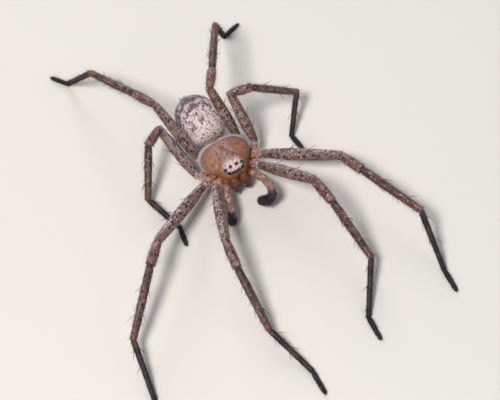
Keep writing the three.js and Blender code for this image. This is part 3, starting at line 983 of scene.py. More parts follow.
def operator(kind: str, swapped: bool = False) -> Callable[..., "Wire"]:
    """Method of a wire that adds one Math node.

    Args:
        kind: What the node does.
        swapped: Whether the other value comes first.

    Returns:
        The method.
    """

    def method(wire: "Wire", *others: Value) -> "Wire":
        """The node's result for this wire and the other value."""
        return wire.shader.maths(kind, *((*others, wire) if swapped else (wire, *others)))

    return method


class Wire:
    """One output of a finish's nodes, with arithmetic that adds the nodes it needs."""

    def __init__(self, shader: "Shader", socket: bpy.types.NodeSocket) -> None:
        """Keep the socket and the shader that it belongs to."""
        self.shader = shader
        self.socket = socket

    __add__ = __radd__ = operator("ADD")
    __sub__, __rsub__ = operator("SUBTRACT"), operator("SUBTRACT", swapped=True)
    __mul__ = __rmul__ = operator("MULTIPLY")
    __abs__, least, most = operator("ABSOLUTE"), operator("MINIMUM"), operator("MAXIMUM")

    def rise(self, low: float, high: float) -> "Wire":
        """Soft rise from 0 to 1 between two levels."""
        sockets = {"Value": self, "From Min": low, "From Max": high}
        return self.shader.node("ShaderNodeMapRange", {"interpolation_type": "SMOOTHSTEP"}, sockets)

    def fall(self, low: float, high: float) -> "Wire":
        """Soft fall from 1 to 0 between two levels."""
        return 1 - self.rise(low, high)


class Shader:
    """Builds one material from expressions on wires."""

    def __init__(self, name: str) -> None:
        """Start a material with one surface shader.

        Args:
            name: Name of the material.
        """
        self.material = bpy.data.materials.new(name)
        self.material.use_nodes = True
        self.tree = self.material.node_tree
        self.tree.nodes.clear()
        self.surface = self.tree.nodes.new("ShaderNodeBsdfPrincipled")
        output = self.tree.nodes.new("ShaderNodeOutputMaterial")
        self.tree.links.new(self.surface.outputs[0], output.inputs[0])

    def node(self, kind: str, settings: dict[str, object], sockets: dict[str, object],
             output: str | int = 0) -> Wire:
        """Add any node.

        Args:
            kind: The node's type.
            settings: Properties, set before its sockets are filled.
            sockets: Values or wires by the socket's name or identifier.
            output: Which output to return.

        Returns:
            The wanted output.
        """
        made = self.tree.nodes.new(kind)
        for key, value in settings.items():
            setattr(made, key, value)
        for key, value in sockets.items():
            target = next(s for s in made.inputs if key in (s.identifier, s.name) and s.enabled)
            self.fill(target, value)
        if isinstance(output, int):
            return Wire(self, made.outputs[output])
        return Wire(self, next(s for s in made.outputs if output in (s.identifier, s.name) and s.enabled))

    def fill(self, target: bpy.types.NodeSocket, value: object) -> None:
        """Link a wire to a socket, or set the socket's own value.

        Args:
            target: The socket.
            value: A wire, number or vector, or a screen colour such as b4713f.
        """
        if isinstance(value, Wire):
            self.tree.links.new(value.socket, target)
        else:
            target.default_value = linear(value) if isinstance(value, str) else value

    def maths(self, operation: str, *values: Value) -> Wire:
        """A Math node on one or two values.

        Args:
            operation: What the node does.
            *values: What it does it to.

        Returns:
            Its result.
        """
        made = self.tree.nodes.new("ShaderNodeMath")
        made.operation = operation
        for target, value in zip(made.inputs, values, strict=False):
            self.fill(target, value)
        return Wire(self, made.outputs[0])

    def mark(self, name: str, output: str = "Fac") -> Wire:
        """A number or vector stored on the mesh."""
        return self.node("ShaderNodeAttribute", {"attribute_name": name}, {}, output)

    def spot(self, stretch: Point = (1.0, 1.0, 1.0), move: Point = (0.0, 0.0, 0.0)) -> Wire:
        """Place in the pattern, in millimetres, drawn out and moved."""
        sockets = {"Vector": self.mark("spot", "Vector"), "Vector_001": stretch, "Vector_002": move}
        return self.node("ShaderNodeVectorMath", {"operation": "MULTIPLY_ADD"}, sockets)

    def noise(self, place: Wire, scale: float, detail: float = 3.0, rough: float = 0.55) -> Wire:
        """Cloudy noise around 0.5.

        Args:
            place: Where to read it.
            scale: Clouds for each millimetre.
            detail: How many finer layers it has.
            rough: How strong they are.

        Returns:
            The noise.
        """
        sockets = {"Vector": place, "Scale": scale, "Detail": detail, "Roughness": rough}
        return self.node("ShaderNodeTexNoise", {}, sockets)

    def cells(self, place: Wire, scale: float, output: str = "Distance") -> Wire:
        """Scattered cells: distance to the nearest middle, or a colour for each."""
        return self.node("ShaderNodeTexVoronoi", {}, {"Vector": place, "Scale": scale}, output)

    def freckles(self, place: Wire, scale: float, size: float, share: float, rag: Value = 0.0) -> Wire:
        """Scattered specks.

        Args:
            place: Where to read the pattern.
            scale: Specks for each millimetre.
            size: Their reach, from 0 to about 0.6.
            share: How many of them show, from 0 to 1.
            rag: Added to the distance, for uneven edges.

        Returns:
            1 on the specks and 0 between them.
        """
        near = self.cells(place, scale) + rag
        chosen = self.node("ShaderNodeSeparateColor", {}, {"Color": self.cells(place, scale, "Color")}, "Red")
        return near.fall(0.72 * size, size) * chosen.fall(share - 0.08, share + 0.04)

    def axis(self, vector: Wire, name: str) -> Wire:
        """One coordinate of a vector."""
        return self.node("ShaderNodeSeparateXYZ", {}, {"Vector": vector}, name)

    def blend(self, share: Value, first: object, second: object) -> Wire:
        """First colour where the share is 0 and second where it is 1."""
        sockets = {"Factor_Float": share, "A_Color": first, "B_Color": second}
        return self.node("ShaderNodeMix", {"data_type": "RGBA"}, sockets, "Result_Color")

    def away(self, place: Wire, point: Sequence[float]) -> Wire:
        """Distance from a fixed point of the pattern."""
        sockets = {"Vector": place, "Vector_001": tuple(point)}
        return self.node("ShaderNodeVectorMath", {"operation": "DISTANCE"}, sockets, "Value")

    def dressed(self, colour: object, roughness: Value, relief: Wire | None = None, depth: float = 0.02,
                **constants: object) -> bpy.types.Material:
        """Connect the results to the surface.

        Args:
            colour: Base colour.
            roughness: Roughness.
            relief: Height from 0 to 1 for the bump.
            depth: What a height of 1 measures, in millimetres.
            **constants: Other sockets of the surface, with _ for spaces.

        Returns:
            The finished material.
        """
        self.fill(self.surface.inputs["Base Color"], colour)
        self.fill(self.surface.inputs["Roughness"], roughness)
        for name, value in constants.items():
            self.surface.inputs[name.replace("_", " ")].default_value = value
        if relief is not None:
            sockets = {"Height": relief, "Distance": depth * MM, "Strength": 1.0}
            self.fill(self.surface.inputs["Normal"], self.node("ShaderNodeBump", {}, sockets))
        return self.material


class Layer(Enum):
    """The two layers that carry the same markings."""

    SKIN = "skin"
    COAT = "coat"


@dataclass(frozen=True)
class HairTint:
    """How hair differs from the skin that it grows on."""

    pale: str = "e8d9de"
    dark: str = "2a1a18"
    pale_tip: float = 0.22
    shade: float = 0.35
    roughness: float = 0.52
    shine: float = 0.32


class Finish:
    """Markings shared by a skin and its coat."""

    hair = HairTint()
    name: str
    skin_roughness = 0.5
    skin_shine = 0.35
    depth = 0.02

    def markings(self, shader: Shader) -> Wire:
        """Colour of the pattern at a place."""
        raise NotImplementedError

    def relief(self, shader: Shader) -> Wire:
        """Height of the fine relief at a place."""
        fur = shader.noise(shader.spot((5.0, 14.0, 14.0)), 1.6, 2.0)
        return fur + 0.5 * shader.noise(shader.spot(), 9.0, 3.0)

    def frost(self, shader: Shader) -> Value:
        """How much pale hair shows as pale at a place."""
        return 0.9

    def material(self, layer: Layer) -> bpy.types.Material:
        """The finish of one layer.

        Args:
            layer: Skin or coat.

        Returns:
            Its material.
        """
        shader = Shader(f"{self.name}_{layer.value}")
        colour = self.markings(shader)
        if layer is Layer.SKIN:
            rough = self.skin_roughness + 0.18 * (shader.noise(shader.spot(), 3.0) - 0.5)
            relief = self.relief(shader)
            return shader.dressed(colour, rough, relief, self.depth, Specular_IOR_Level=self.skin_shine)
        tone, tip = shader.mark("tone"), shader.mark("tip")
        shade = shader.blend(self.hair.shade * tone, colour, self.hair.dark)
        pale = (self.hair.pale_tip * tip * tone).most(shader.mark("pale")) * self.frost(shader)
        colour = shader.blend(pale, shade, self.hair.pale)
        return shader.dressed(colour, self.hair.roughness, Specular_IOR_Level=self.hair.shine)


@dataclass(frozen=True)
class LegFinish(Finish):
    """Densely speckled pinkish-brown legs that darken towards the feet."""

    name: str = "leg"
    coxa: str = "a05e3c"
    coxa_pale: str = "dcc0bb"
    thigh: str = "80625a"
    # Pale lilac for the band along the upper rear side: partly pale hair, partly a painted rim highlight.
    back_sheen: str = "b39da5"
    # Olive-brown for the lower side of the thigh: partly its own colour, partly painted shade.
    thigh_under_shade: str = "6c4a32"
    knee: str = "72433a"
    knee_tip: str = "8e665d"
    hinge: str = "954a24"
    shin: str = "60342b"
    shin_tip: str = "824e43"
    instep: str = "130e10"
    foot: str = "0f0c0d"
    speck: str = "221216"
    blot: str = "2a1c21"
    fleck: str = "d8c3bc"
    bounds: tuple[Span, ...] = (
        (1.86, 2.08), (2.93, 3.05), (3.98, 4.04), (4.78, 4.94), (4.99, 5.03), (5.5, 6.1),
    )
    hair = HairTint(pale_tip=0.18, shine=0.22)

    def ground(self, shader: Shader, level: Wire, side: Wire, back: Wire, cloud: Wire) -> Wire:
        """Colours of the parts, before their specks.

        Args:
            shader: Where the nodes go.
            level: Part number along the leg.
            side: 1 on top and -1 below, with uneven edges.
            back: 1 on the rear upper side.
            cloud: Uneven tone around 0.

        Returns:
            The colour.
        """
        patches = shader.noise(shader.spot((0.9, 1.0, 1.0), (3.0, 0.0, 0.0)), 2.1, 3.0, 0.6)
        coxa = shader.blend(patches.fall(0.38, 0.48) * 0.6, self.coxa, self.hinge)
        coxa = shader.blend((patches + 0.15 * side).rise(0.62, 0.72) * 0.35, coxa, self.coxa_pale)
        # Thigh darker and more olive on its lower side: partly its own colour, partly painted shade.
        thigh = shader.blend(side.rise(-0.7, 0.2), self.thigh_under_shade, self.thigh)
        # Pale lilac band along the upper rear side of the thigh, fainter over the knee and shin: partly pale
        # hair, partly a painted rim highlight.
        rim_sheen = back.rise(0.75, 1.05) * 0.85
        thigh = shader.blend(rim_sheen, thigh, self.back_sheen)
        knee = shader.blend(rim_sheen * 0.4, self.knee, self.back_sheen)
        knee = shader.blend((level + 0.4 * cloud).rise(3.6, 3.9) * 0.7, knee, self.knee_tip)
        shin = shader.blend(rim_sheen * 0.35, self.shin, self.back_sheen)
        instep = shader.blend(cloud.rise(-0.1, 0.2) * 0.4, self.instep, self.shin)
        colour = coxa
        for (low, high), paint in zip(self.bounds, (thigh, knee, shin, self.shin_tip, instep, self.foot)):
            colour = shader.blend(level.rise(low, high), colour, paint)
        return colour

    def markings(self, shader: Shader) -> Wire:
        """Bands by part, with dark specks, pale flecks and a dark ring below the knee.

        Args:
            shader: Where the nodes go.

        Returns:
            The colour.
        """
        part, upper = shader.mark("part"), shader.mark("upper")
        front = shader.axis(shader.mark("spot", "Vector"), "Z")
        stretched = shader.spot((0.7, 1.0, 1.0))
        cloud = shader.noise(shader.spot(), 1.1, 3.0) - 0.5
        fine = shader.noise(stretched, 5.5, 4.0, 0.62) - 0.5
        level = part + 0.14 * cloud
        side = upper + 1.3 * cloud + 0.8 * fine
        back = 0.85 * upper - 0.85 * front + 0.7 * cloud + 0.9 * fine
        colour = self.ground(shader, level, side, back, cloud)
        hinge = part.rise(2.95, 2.98) * part.fall(3.03, 3.12) * side.fall(-0.5, 0.3)
        colour = shader.blend(hinge, colour, self.hinge)
        on_limb = level.rise(1.9, 2.1)
        before_foot = level.fall(4.95, 5.15)
        flecks = (fine + 0.3 * cloud).rise(0.03, 0.12) * (0.1 + 0.45 * before_foot) * on_limb
        colour = shader.blend(flecks, colour, self.fleck)
        plain_tip = 1 - 0.35 * level.rise(3.75, 3.9) * level.fall(3.97, 4.0)
        specks = shader.freckles(stretched, 2.4, 0.46, 0.92, 0.9 * fine)
        grain = shader.freckles(stretched, 5.2, 0.5, 0.85) * 0.6
        clusters = shader.noise(shader.spot((0.7, 1.1, 1.1), (9.0, 0.0, 0.0)), 1.5, 3.0, 0.6) + 0.6 * fine
        dark = specks.most(grain).most(clusters.rise(0.56, 0.64) * 0.5) * plain_tip
        shown = (0.4 + 0.6 * on_limb) * (0.4 + 0.52 * before_foot)
        colour = shader.blend(dark * shown, colour, self.speck)
        broad = shader.noise(shader.spot((0.55, 1.2, 1.2), (5.0, 0.0, 0.0)), 1.7, 4.0, 0.6) + 0.5 * fine
        blots = broad.rise(0.53, 0.59) * level.rise(3.9, 4.1) * before_foot * 0.5
        ring = level.rise(3.985, 4.01) * (level + 0.25 * fine).fall(4.06, 4.18) * 0.7
        colour = shader.blend(blots.most(ring), colour, self.blot)
        studs = shader.cells(shader.spot((0.8, 1.0, 1.0)), 1.4).fall(0.06, 0.12) * on_limb * before_foot
        return shader.blend(studs * 0.9, colour, self.fleck)

    def frost(self, shader: Shader) -> Value:
        """Pale hair thins out beyond the knee and ends before the feet."""
        part = shader.mark("part")
        return 0.04 + 0.36 * part.fall(4.9, 5.3) + 0.5 * part.fall(3.0, 4.1)


@dataclass(frozen=True)
class AbdomenFinish(Finish):
    """Cream-pink with purple-grey mottling, dark streaks and dark arches near the rear."""

    middle: str = "e4d0cf"
    side: str = "e2d1d2"
    front: str = "b8a28d"
    rear: str = "a8968f"
    mottle: str = "857272"
    speck: str = "38262c"
    belly: str = "8c7a6c"
    name = "abdomen"
    skin_roughness = 0.62
    depth = 0.03

    def crowding(self, x: Wire, y: Wire, ragged: Wire) -> Wire:
        """How dense the mottling is: along the middle line, in two arches, at the rear and on the sides.

        Args:
            x: Distance from the middle line.
            y: Place along the abdomen, forward negative.
            ragged: Uneven shift of the arches.

        Returns:
            What is added to the mottling's noise.
        """
        bent = y + 0.22 * x * x + ragged
        middle = x.fall(0.3, 0.8) * y.rise(-2.6, -1.6)
        arches = bent.rise(0.6, 1.0) * bent.fall(1.5, 2.0) * x.fall(1.7, 2.4)
        arches = arches.most(bent.rise(2.3, 2.6) * bent.fall(2.9, 3.3))
        beside = x.rise(1.3, 1.7) * x.fall(2.1, 2.5) * y.rise(-2.2, -1.4) * y.fall(0.6, 1.4)
        rear = (y + 0.2 * x).rise(1.4, 3.2)
        flank = x.rise(2.1, 2.9)
        return 0.05 * middle + 0.17 * arches + 0.05 * beside + 0.1 * rear - 0.06 * flank - 0.02

    def markings(self, shader: Shader) -> Wire:
        """Pattern in the abdomen's own frame.

        Args:
            shader: Where the nodes go.

        Returns:
            The colour.
        """
        place, upper = shader.mark("spot", "Vector"), shader.mark("upper")
        cloud = shader.noise(shader.spot(), 0.9, 4.0) - 0.5
        fine = shader.noise(shader.spot((1.0, 0.7, 1.0)), 5.0, 4.0, 0.6) - 0.5
        x = abs(shader.axis(place, "X") + 0.8 * cloud)
        y = shader.axis(place, "Y") + 1.2 * cloud
        colour = shader.blend((upper + 0.7 * cloud).rise(-0.1, 0.4), self.side, self.middle)
        colour = shader.blend(y.fall(-4.4, -3.3), colour, self.front)
        colour = shader.blend(y.rise(0.8, 2.8) * 0.8, colour, self.rear)
        colour = shader.blend(upper.fall(-0.7, -0.2), colour, self.belly)
        crowd = self.crowding(x, y, 2.2 * fine + 1.4 * cloud) + 0.3 * cloud
        lengthwise = shader.noise(shader.spot((1.7, 0.55, 1.5)), 2.0, 5.0, 0.65)
        crosswise = shader.noise(shader.spot((0.55, 2.3, 1.0)), 2.0, 5.0, 0.65)
        turn = y.rise(0.8, 2.2)
        ragged = lengthwise * (1 - turn) + crosswise * turn
        mottle = (ragged + crowd + 0.15 * fine).rise(0.53, 0.57)
        colour = shader.blend(mottle * 0.75, colour, self.mottle)
        folds = crosswise.fall(0.42, 0.48) * turn * 0.7
        colour = shader.blend(folds, colour, self.middle)
        stretched = shader.spot((1.2, 0.7, 1.2))
        spots = shader.freckles(stretched, 1.5, 0.34, 0.5, 0.8 * fine - 0.5 * crowd)
        specks = shader.freckles(stretched, 3.4, 0.42, 0.7, 0.6 * fine - 0.5 * crowd) * 0.85
        grain = shader.freckles(stretched, 6.0, 0.5, 0.85) * 0.58
        deep = (ragged + crowd + 0.5 * fine).rise(0.6, 0.65) * 0.9
        dark = spots.most(specks).most(grain).most(deep) * 0.92
        return shader.blend(dark, colour, self.speck)

    def relief(self, shader: Shader) -> Wire:
        """Short fur along the body and fine wrinkles."""
        fur = shader.noise(shader.spot((14.0, 5.0, 14.0)), 1.3, 2.0)
        return fur + 0.6 * shader.noise(shader.spot(), 6.0, 4.0)


@dataclass(frozen=True)
class CarapaceFinish(Finish):
    """Orange-brown flanks, a pink speckled middle, a pale face and black round the front eyes."""

    eyes: dict[str, tuple[Numbers, float]]
    fovea_y: float
    flank: str = "ab7663"
    bright: str = "ad7449"
    dusk: str = "6b4230"
    olive: str = "86684a"
    edge: str = "dcc2c9"
    middle: str = "a67f76"
    face: str = "e6cccb"
    clypeus: str = "ac5c31"
    speck: str = "351f1b"
    groove: str = "55301f"
    black: str = "0a080a"
    name = "carapace"
    skin_roughness = 0.5
    depth = 0.014

    def between_eyes(self) -> list[Numbers]:
        """Points close together, just below the row of front eyes.

        Returns:
            Points in millimetres.
        """
        row = [self.eyes[name][0] for name in ("ale_l", "ame_l", "ame_r", "ale_r")]
        below = np.array([0.0, -0.08, -0.12])
        return [first + (second - first) * share + below
                for first, second in zip(row, row[1:]) for share in (0.15, 0.4, 0.6, 0.85)]

    def beside_eyes(self) -> list[Numbers]:
        """Points between the outer front eye and the side eye of each side.

        Returns:
            Points in millimetres.
        """
        ends = [(self.eyes[f"ale_{side.letter}"][0], self.eyes[f"ple_{side.letter}"][0]) for side in Side]
        outward = [np.array([0.14 * side.value, -0.02, -0.06]) for side in Side]
        return [first + (second - first) * share + shift
                for (first, second), shift in zip(ends, outward) for share in (0.3, 0.5, 0.7)]

    def nearest(self, shader: Shader, place: Wire, points: Sequence[Numbers]) -> Wire:
        """Distance to the nearest of several points.

        Args:
            shader: Where the nodes go.
            place: Where to measure from.
            points: The points.

        Returns:
            The distance in millimetres.
        """
        near = shader.away(place, points[0])
        for point in points[1:]:
            near = near.least(shader.away(place, point))
        return near

    def spokes(self, shader: Shader, x: Wire, y: Wire) -> Wire:
        """Fine streaks that run out from the fovea.

        Args:
            shader: Where the nodes go.
            x: Distance from the middle line.
            y: Place along the body.

        Returns:
            Noise around 0.5.
        """
        back = y - self.fovea_y
        turn = shader.maths("ARCTAN2", x, back)
        reach = shader.maths("SQRT", x * x + back * back)
        sockets = {"X": turn * 3.4, "Y": reach * 0.5, "Z": 0.0}
        polar = shader.node("ShaderNodeCombineXYZ", {}, sockets)
        return shader.noise(polar, 2.2, 4.0, 0.6)

    def blackness(self, shader: Shader, place: Wire) -> Wire:
        """Black skin: a ring round each eye and a thin line below the front row.

        Args:
            shader: Where the nodes go.
            place: Place in the pattern.

        Returns:
            1 where the skin is black.
        """
        rag = 0.16 * (shader.noise(shader.spot(), 6.0, 3.0) - 0.5)
        rings = self.nearest(shader, place, [centre for centre, _ in self.eyes.values()]) + rag
        line = self.nearest(shader, place, self.between_eyes()) + rag
        corner = self.nearest(shader, place, self.beside_eyes()) + rag
        return rings.fall(0.27, 0.33).most(line.fall(0.17, 0.23)).most(corner.fall(0.14, 0.21) * 0.92)

    def markings(self, shader: Shader) -> Wire:
        """Pattern seen from above, and the dark skin round the eyes.

        Args:
            shader: Where the nodes go.

        Returns:
            The colour.
        """
        place, out = shader.mark("spot", "Vector"), shader.mark("part")
        across, y, z = (shader.axis(place, name) for name in "XYZ")
        x = abs(across)
        cloud = shader.noise(shader.spot(), 0.9, 4.0) - 0.5
        fine = shader.noise(shader.spot((1.0, 0.7, 1.0)), 5.0, 4.0, 0.6) - 0.5
        colour = shader.blend((y + 1.6 * cloud).fall(-1.6, 1.0), self.flank, self.bright)
        spokes = self.spokes(shader, across, y)
        colour = shader.blend((spokes + 0.5 * fine).rise(0.46, 0.62) * 0.7, colour, self.dusk)
        clouds = (cloud + 0.3 * fine).rise(0.04, 0.14) * 0.5
        colour = shader.blend(clouds, colour, self.dusk)
        patches = shader.noise(shader.spot((1.0, 1.0, 1.0), (4.0, 0.0, 0.0)), 1.3, 5.0, 0.65)
        colour = shader.blend(patches.rise(0.49, 0.58) * 0.42, colour, self.olive)
        waist = (x - 0.12 * y + 0.9 * cloud + 0.9 * fine).fall(0.8, 1.7) * (y + 0.6 * cloud).fall(2.0, 2.8)
        colour = shader.blend(waist * 0.8, colour, self.middle)
        rag = 0.9 * cloud + 0.8 * fine
        face = (x + 0.5 * y + rag).fall(0.0, 0.9) * (y + rag).fall(-1.9, -0.8)
        face = face * (z - 0.12 * x * x + 0.3 * fine).rise(4.88, 5.02)
        colour = shader.blend(face, colour, self.face)
        groove = abs(x - (0.8 - y) * 0.83 + 0.4 * cloud).fall(0.05, 0.4)
        groove = groove * y.rise(-2.4, -1.6) * y.fall(0.4, 1.0)
        fovea = x.fall(0.05, 0.22) * y.rise(0.5, 0.9) * y.fall(1.7, 2.1)
        colour = shader.blend((groove * 0.35).most(fovea * 0.5), colour, self.groove)
        clypeus = z.fall(4.55, 4.85) * y.fall(-2.2, -1.4)
        colour = shader.blend(clypeus, colour, self.clypeus)
        stretched = shader.spot((1.2, 0.6, 1.0))
        patterned = 0.42 + 0.58 * waist.most(face)
        specks = shader.freckles(stretched, 3.2, 0.44, 0.75, 1.1 * fine)
        dashes = shader.freckles(shader.spot((2.2, 0.55, 1.0)), 1.9, 0.36, 0.62, 0.5 * fine)
        dashes = dashes * waist.most(face)
        grain = shader.freckles(stretched, 6.5, 0.46, 0.75) * 0.55
        streaks = shader.noise(shader.spot((2.2, 0.5, 1.0)), 2.2, 4.0, 0.6).rise(0.57, 0.64) * 0.6
        dark = specks.most(grain).most(streaks).most(dashes) * patterned
        colour = shader.blend(dark * 0.85, colour, self.speck)
        low = z + 0.25 * cloud
        rim = low.rise(4.05, 4.2) * low.fall(4.25, 4.5) * out.rise(0.8, 0.9)
        colour = shader.blend(rim * 0.55, colour, self.groove)
        edge = low.fall(3.95, 4.12) * (y + 2.0 * cloud).rise(-1.4, 0.4)
        colour = shader.blend(edge * 0.85, colour, self.edge)
        return shader.blend(self.blackness(shader, place), colour, self.black)

    def relief(self, shader: Shader) -> Wire:
        """Faint grain with hair pits."""
        pits = shader.cells(shader.spot(), 7.0).rise(0.05, 0.25)
        return 0.6 * pits + 0.5 * shader.noise(shader.spot(), 5.0, 4.0)


@dataclass(frozen=True)
class LimbFinish(Finish):
    """A palp, a jaw or the underside: one colour at the root, another at the tip, with red-brown flecks."""

    name: str
    base: str
    root: str
    tip: str
    under: str
    speck: str
    turn: Span
    speck_amount: float = 0.8
    pale: str = "e0c8b8"
    skin_roughness: float = 0.5
    hair = HairTint(pale_tip=0.1, shine=0.25)

    def markings(self, shader: Shader) -> Wire:
        """Pattern laid along the limb.

        Args:
            shader: Where the nodes go.

        Returns:
            The colour.
        """
        part, upper = shader.mark("part"), shader.mark("upper")
        cloud = shader.noise(shader.spot(), 1.6, 4.0) - 0.5
        top = (upper + 1.2 * cloud).rise(-0.6, 0.4)
        root = shader.blend(top, self.under, self.root)
        fine = shader.noise(shader.spot((0.8, 1.2, 1.2)), 4.0, 4.0, 0.6) - 0.5
        pale = (fine + cloud).rise(0.03, 0.12) * 0.5
        root = shader.blend(pale, root, self.pale)
        root = shader.blend((part + cloud).fall(0.9, 1.9), root, self.base)
        streaks = shader.noise(shader.spot((0.5, 1.7, 1.7)), 2.6, 5.0, 0.6).rise(0.55, 0.61) * 0.85
        specks = shader.freckles(shader.spot((0.7, 1.0, 1.0)), 3.4, 0.42, 0.75, 1.0 * fine)
        root = shader.blend(streaks.most(specks) * self.speck_amount, root, self.speck)
        return shader.blend((part + 0.5 * cloud).rise(*self.turn), root, self.tip)


@dataclass(frozen=True)
class PlainFinish:
    """A plain hard part with a slight change of tone."""

    name: str
    colour: str
    second: str
    roughness: float
    coat: float = 0.0
    coat_roughness: float = 0.08
    depth: float = 0.004

    def material(self) -> bpy.types.Material:
        """Material for a claw, a fang or a spine.

        Returns:
            The material.
        """
        shader = Shader(self.name)
        place = shader.node("ShaderNodeTexCoord", {}, {}, "Object")
        cloud = shader.noise(place, 900.0, 4.0)
        colour = shader.blend(cloud.rise(0.35, 0.65), self.colour, self.second)
        relief = shader.noise(place, 4000.0, 3.0)
        return shader.dressed(colour, self.roughness, relief, self.depth, Coat_Weight=self.coat,
                              Coat_Roughness=self.coat_roughness)


@dataclass(frozen=True)
class SpineFinish:
    """Dark spines with a pale foot."""

    colour: str = "2a1b1c"
    foot: str = "8a6a62"
    roughness: float = 0.34

    def material(self) -> bpy.types.Material:
        """Material that turns dark from the root outwards.

        Returns:
            The material.
        """
        shader = Shader("spine")
        tip = shader.mark("tip") + 0.1 * (shader.mark("tone") - 0.5)
        colour = shader.blend(tip.rise(0.02, 0.16), self.foot, self.colour)
        return shader.dressed(colour, self.roughness, Specular_IOR_Level=0.6)


@dataclass(frozen=True)
class EyeFinish:
    """A black glossy lens with a painted highlight near its upper front, in a black collar."""

    name: str
    # depth is the colour of the painted highlight, share how strongly it shows.
    depth: str
    share: float
    lens: str = "06070a"
    collar: str = "0b0809"

    def material(self) -> bpy.types.Material:
        """Material that reads how near a point lies to the axis and to the upper front, and paints a
        highlight there.

        Returns:
            The material.
        """
        shader = Shader(self.name)
        rise, glint = shader.mark("rise"), shader.mark("glint")
        # Painted highlight on the upper front of the lens.
        colour = shader.blend(glint.rise(0.78, 0.93) * self.share, self.lens, self.depth)
        colour = shader.blend(rise.fall(0.16, 0.28), colour, self.collar)
        rough = 0.05 + 0.4 * rise.fall(0.16, 0.28)
        return shader.dressed(colour, rough, Coat_Weight=0.7, Coat_Roughness=0.03, Specular_IOR_Level=0.1)


def grown(form: Form, piles: Sequence[Pile], seed: int) -> list[Blades]:
    """Several kinds of hair on one form, each with a draw of its own."""
    return [pile.grow(form, seed + i) for i, pile in enumerate(piles)]


def cover(name: str, growth: Sequence[Blades], finish: Finish) -> None:
    """Put a coat of fine hair into the scene.

    Args:
        name: Name of the piece.
        growth: Its hairs.
        finish: Markings that it shares with the skin.
    """
    mesh = Blades.joined(growth).mesh(HAIR_SIDES, HAIR_LEVELS)
    settle(name, mesh, finish.material(Layer.COAT))


def clothe(name: str, forms: dict[Form, int], finish: Finish, nodes: Sequence[str]) -> None:
    """Put the skin of one or more forms into the scene.

    Args:
        name: Name of the piece.
        forms: Its forms, with the number of faces round each.
        finish: Its markings.
        nodes: Solids that it stands for.
    """
    mesh = meshed([form.shape(columns) for form, columns in forms.items()])
    settle(name, mesh, finish.material(Layer.SKIN), nodes)


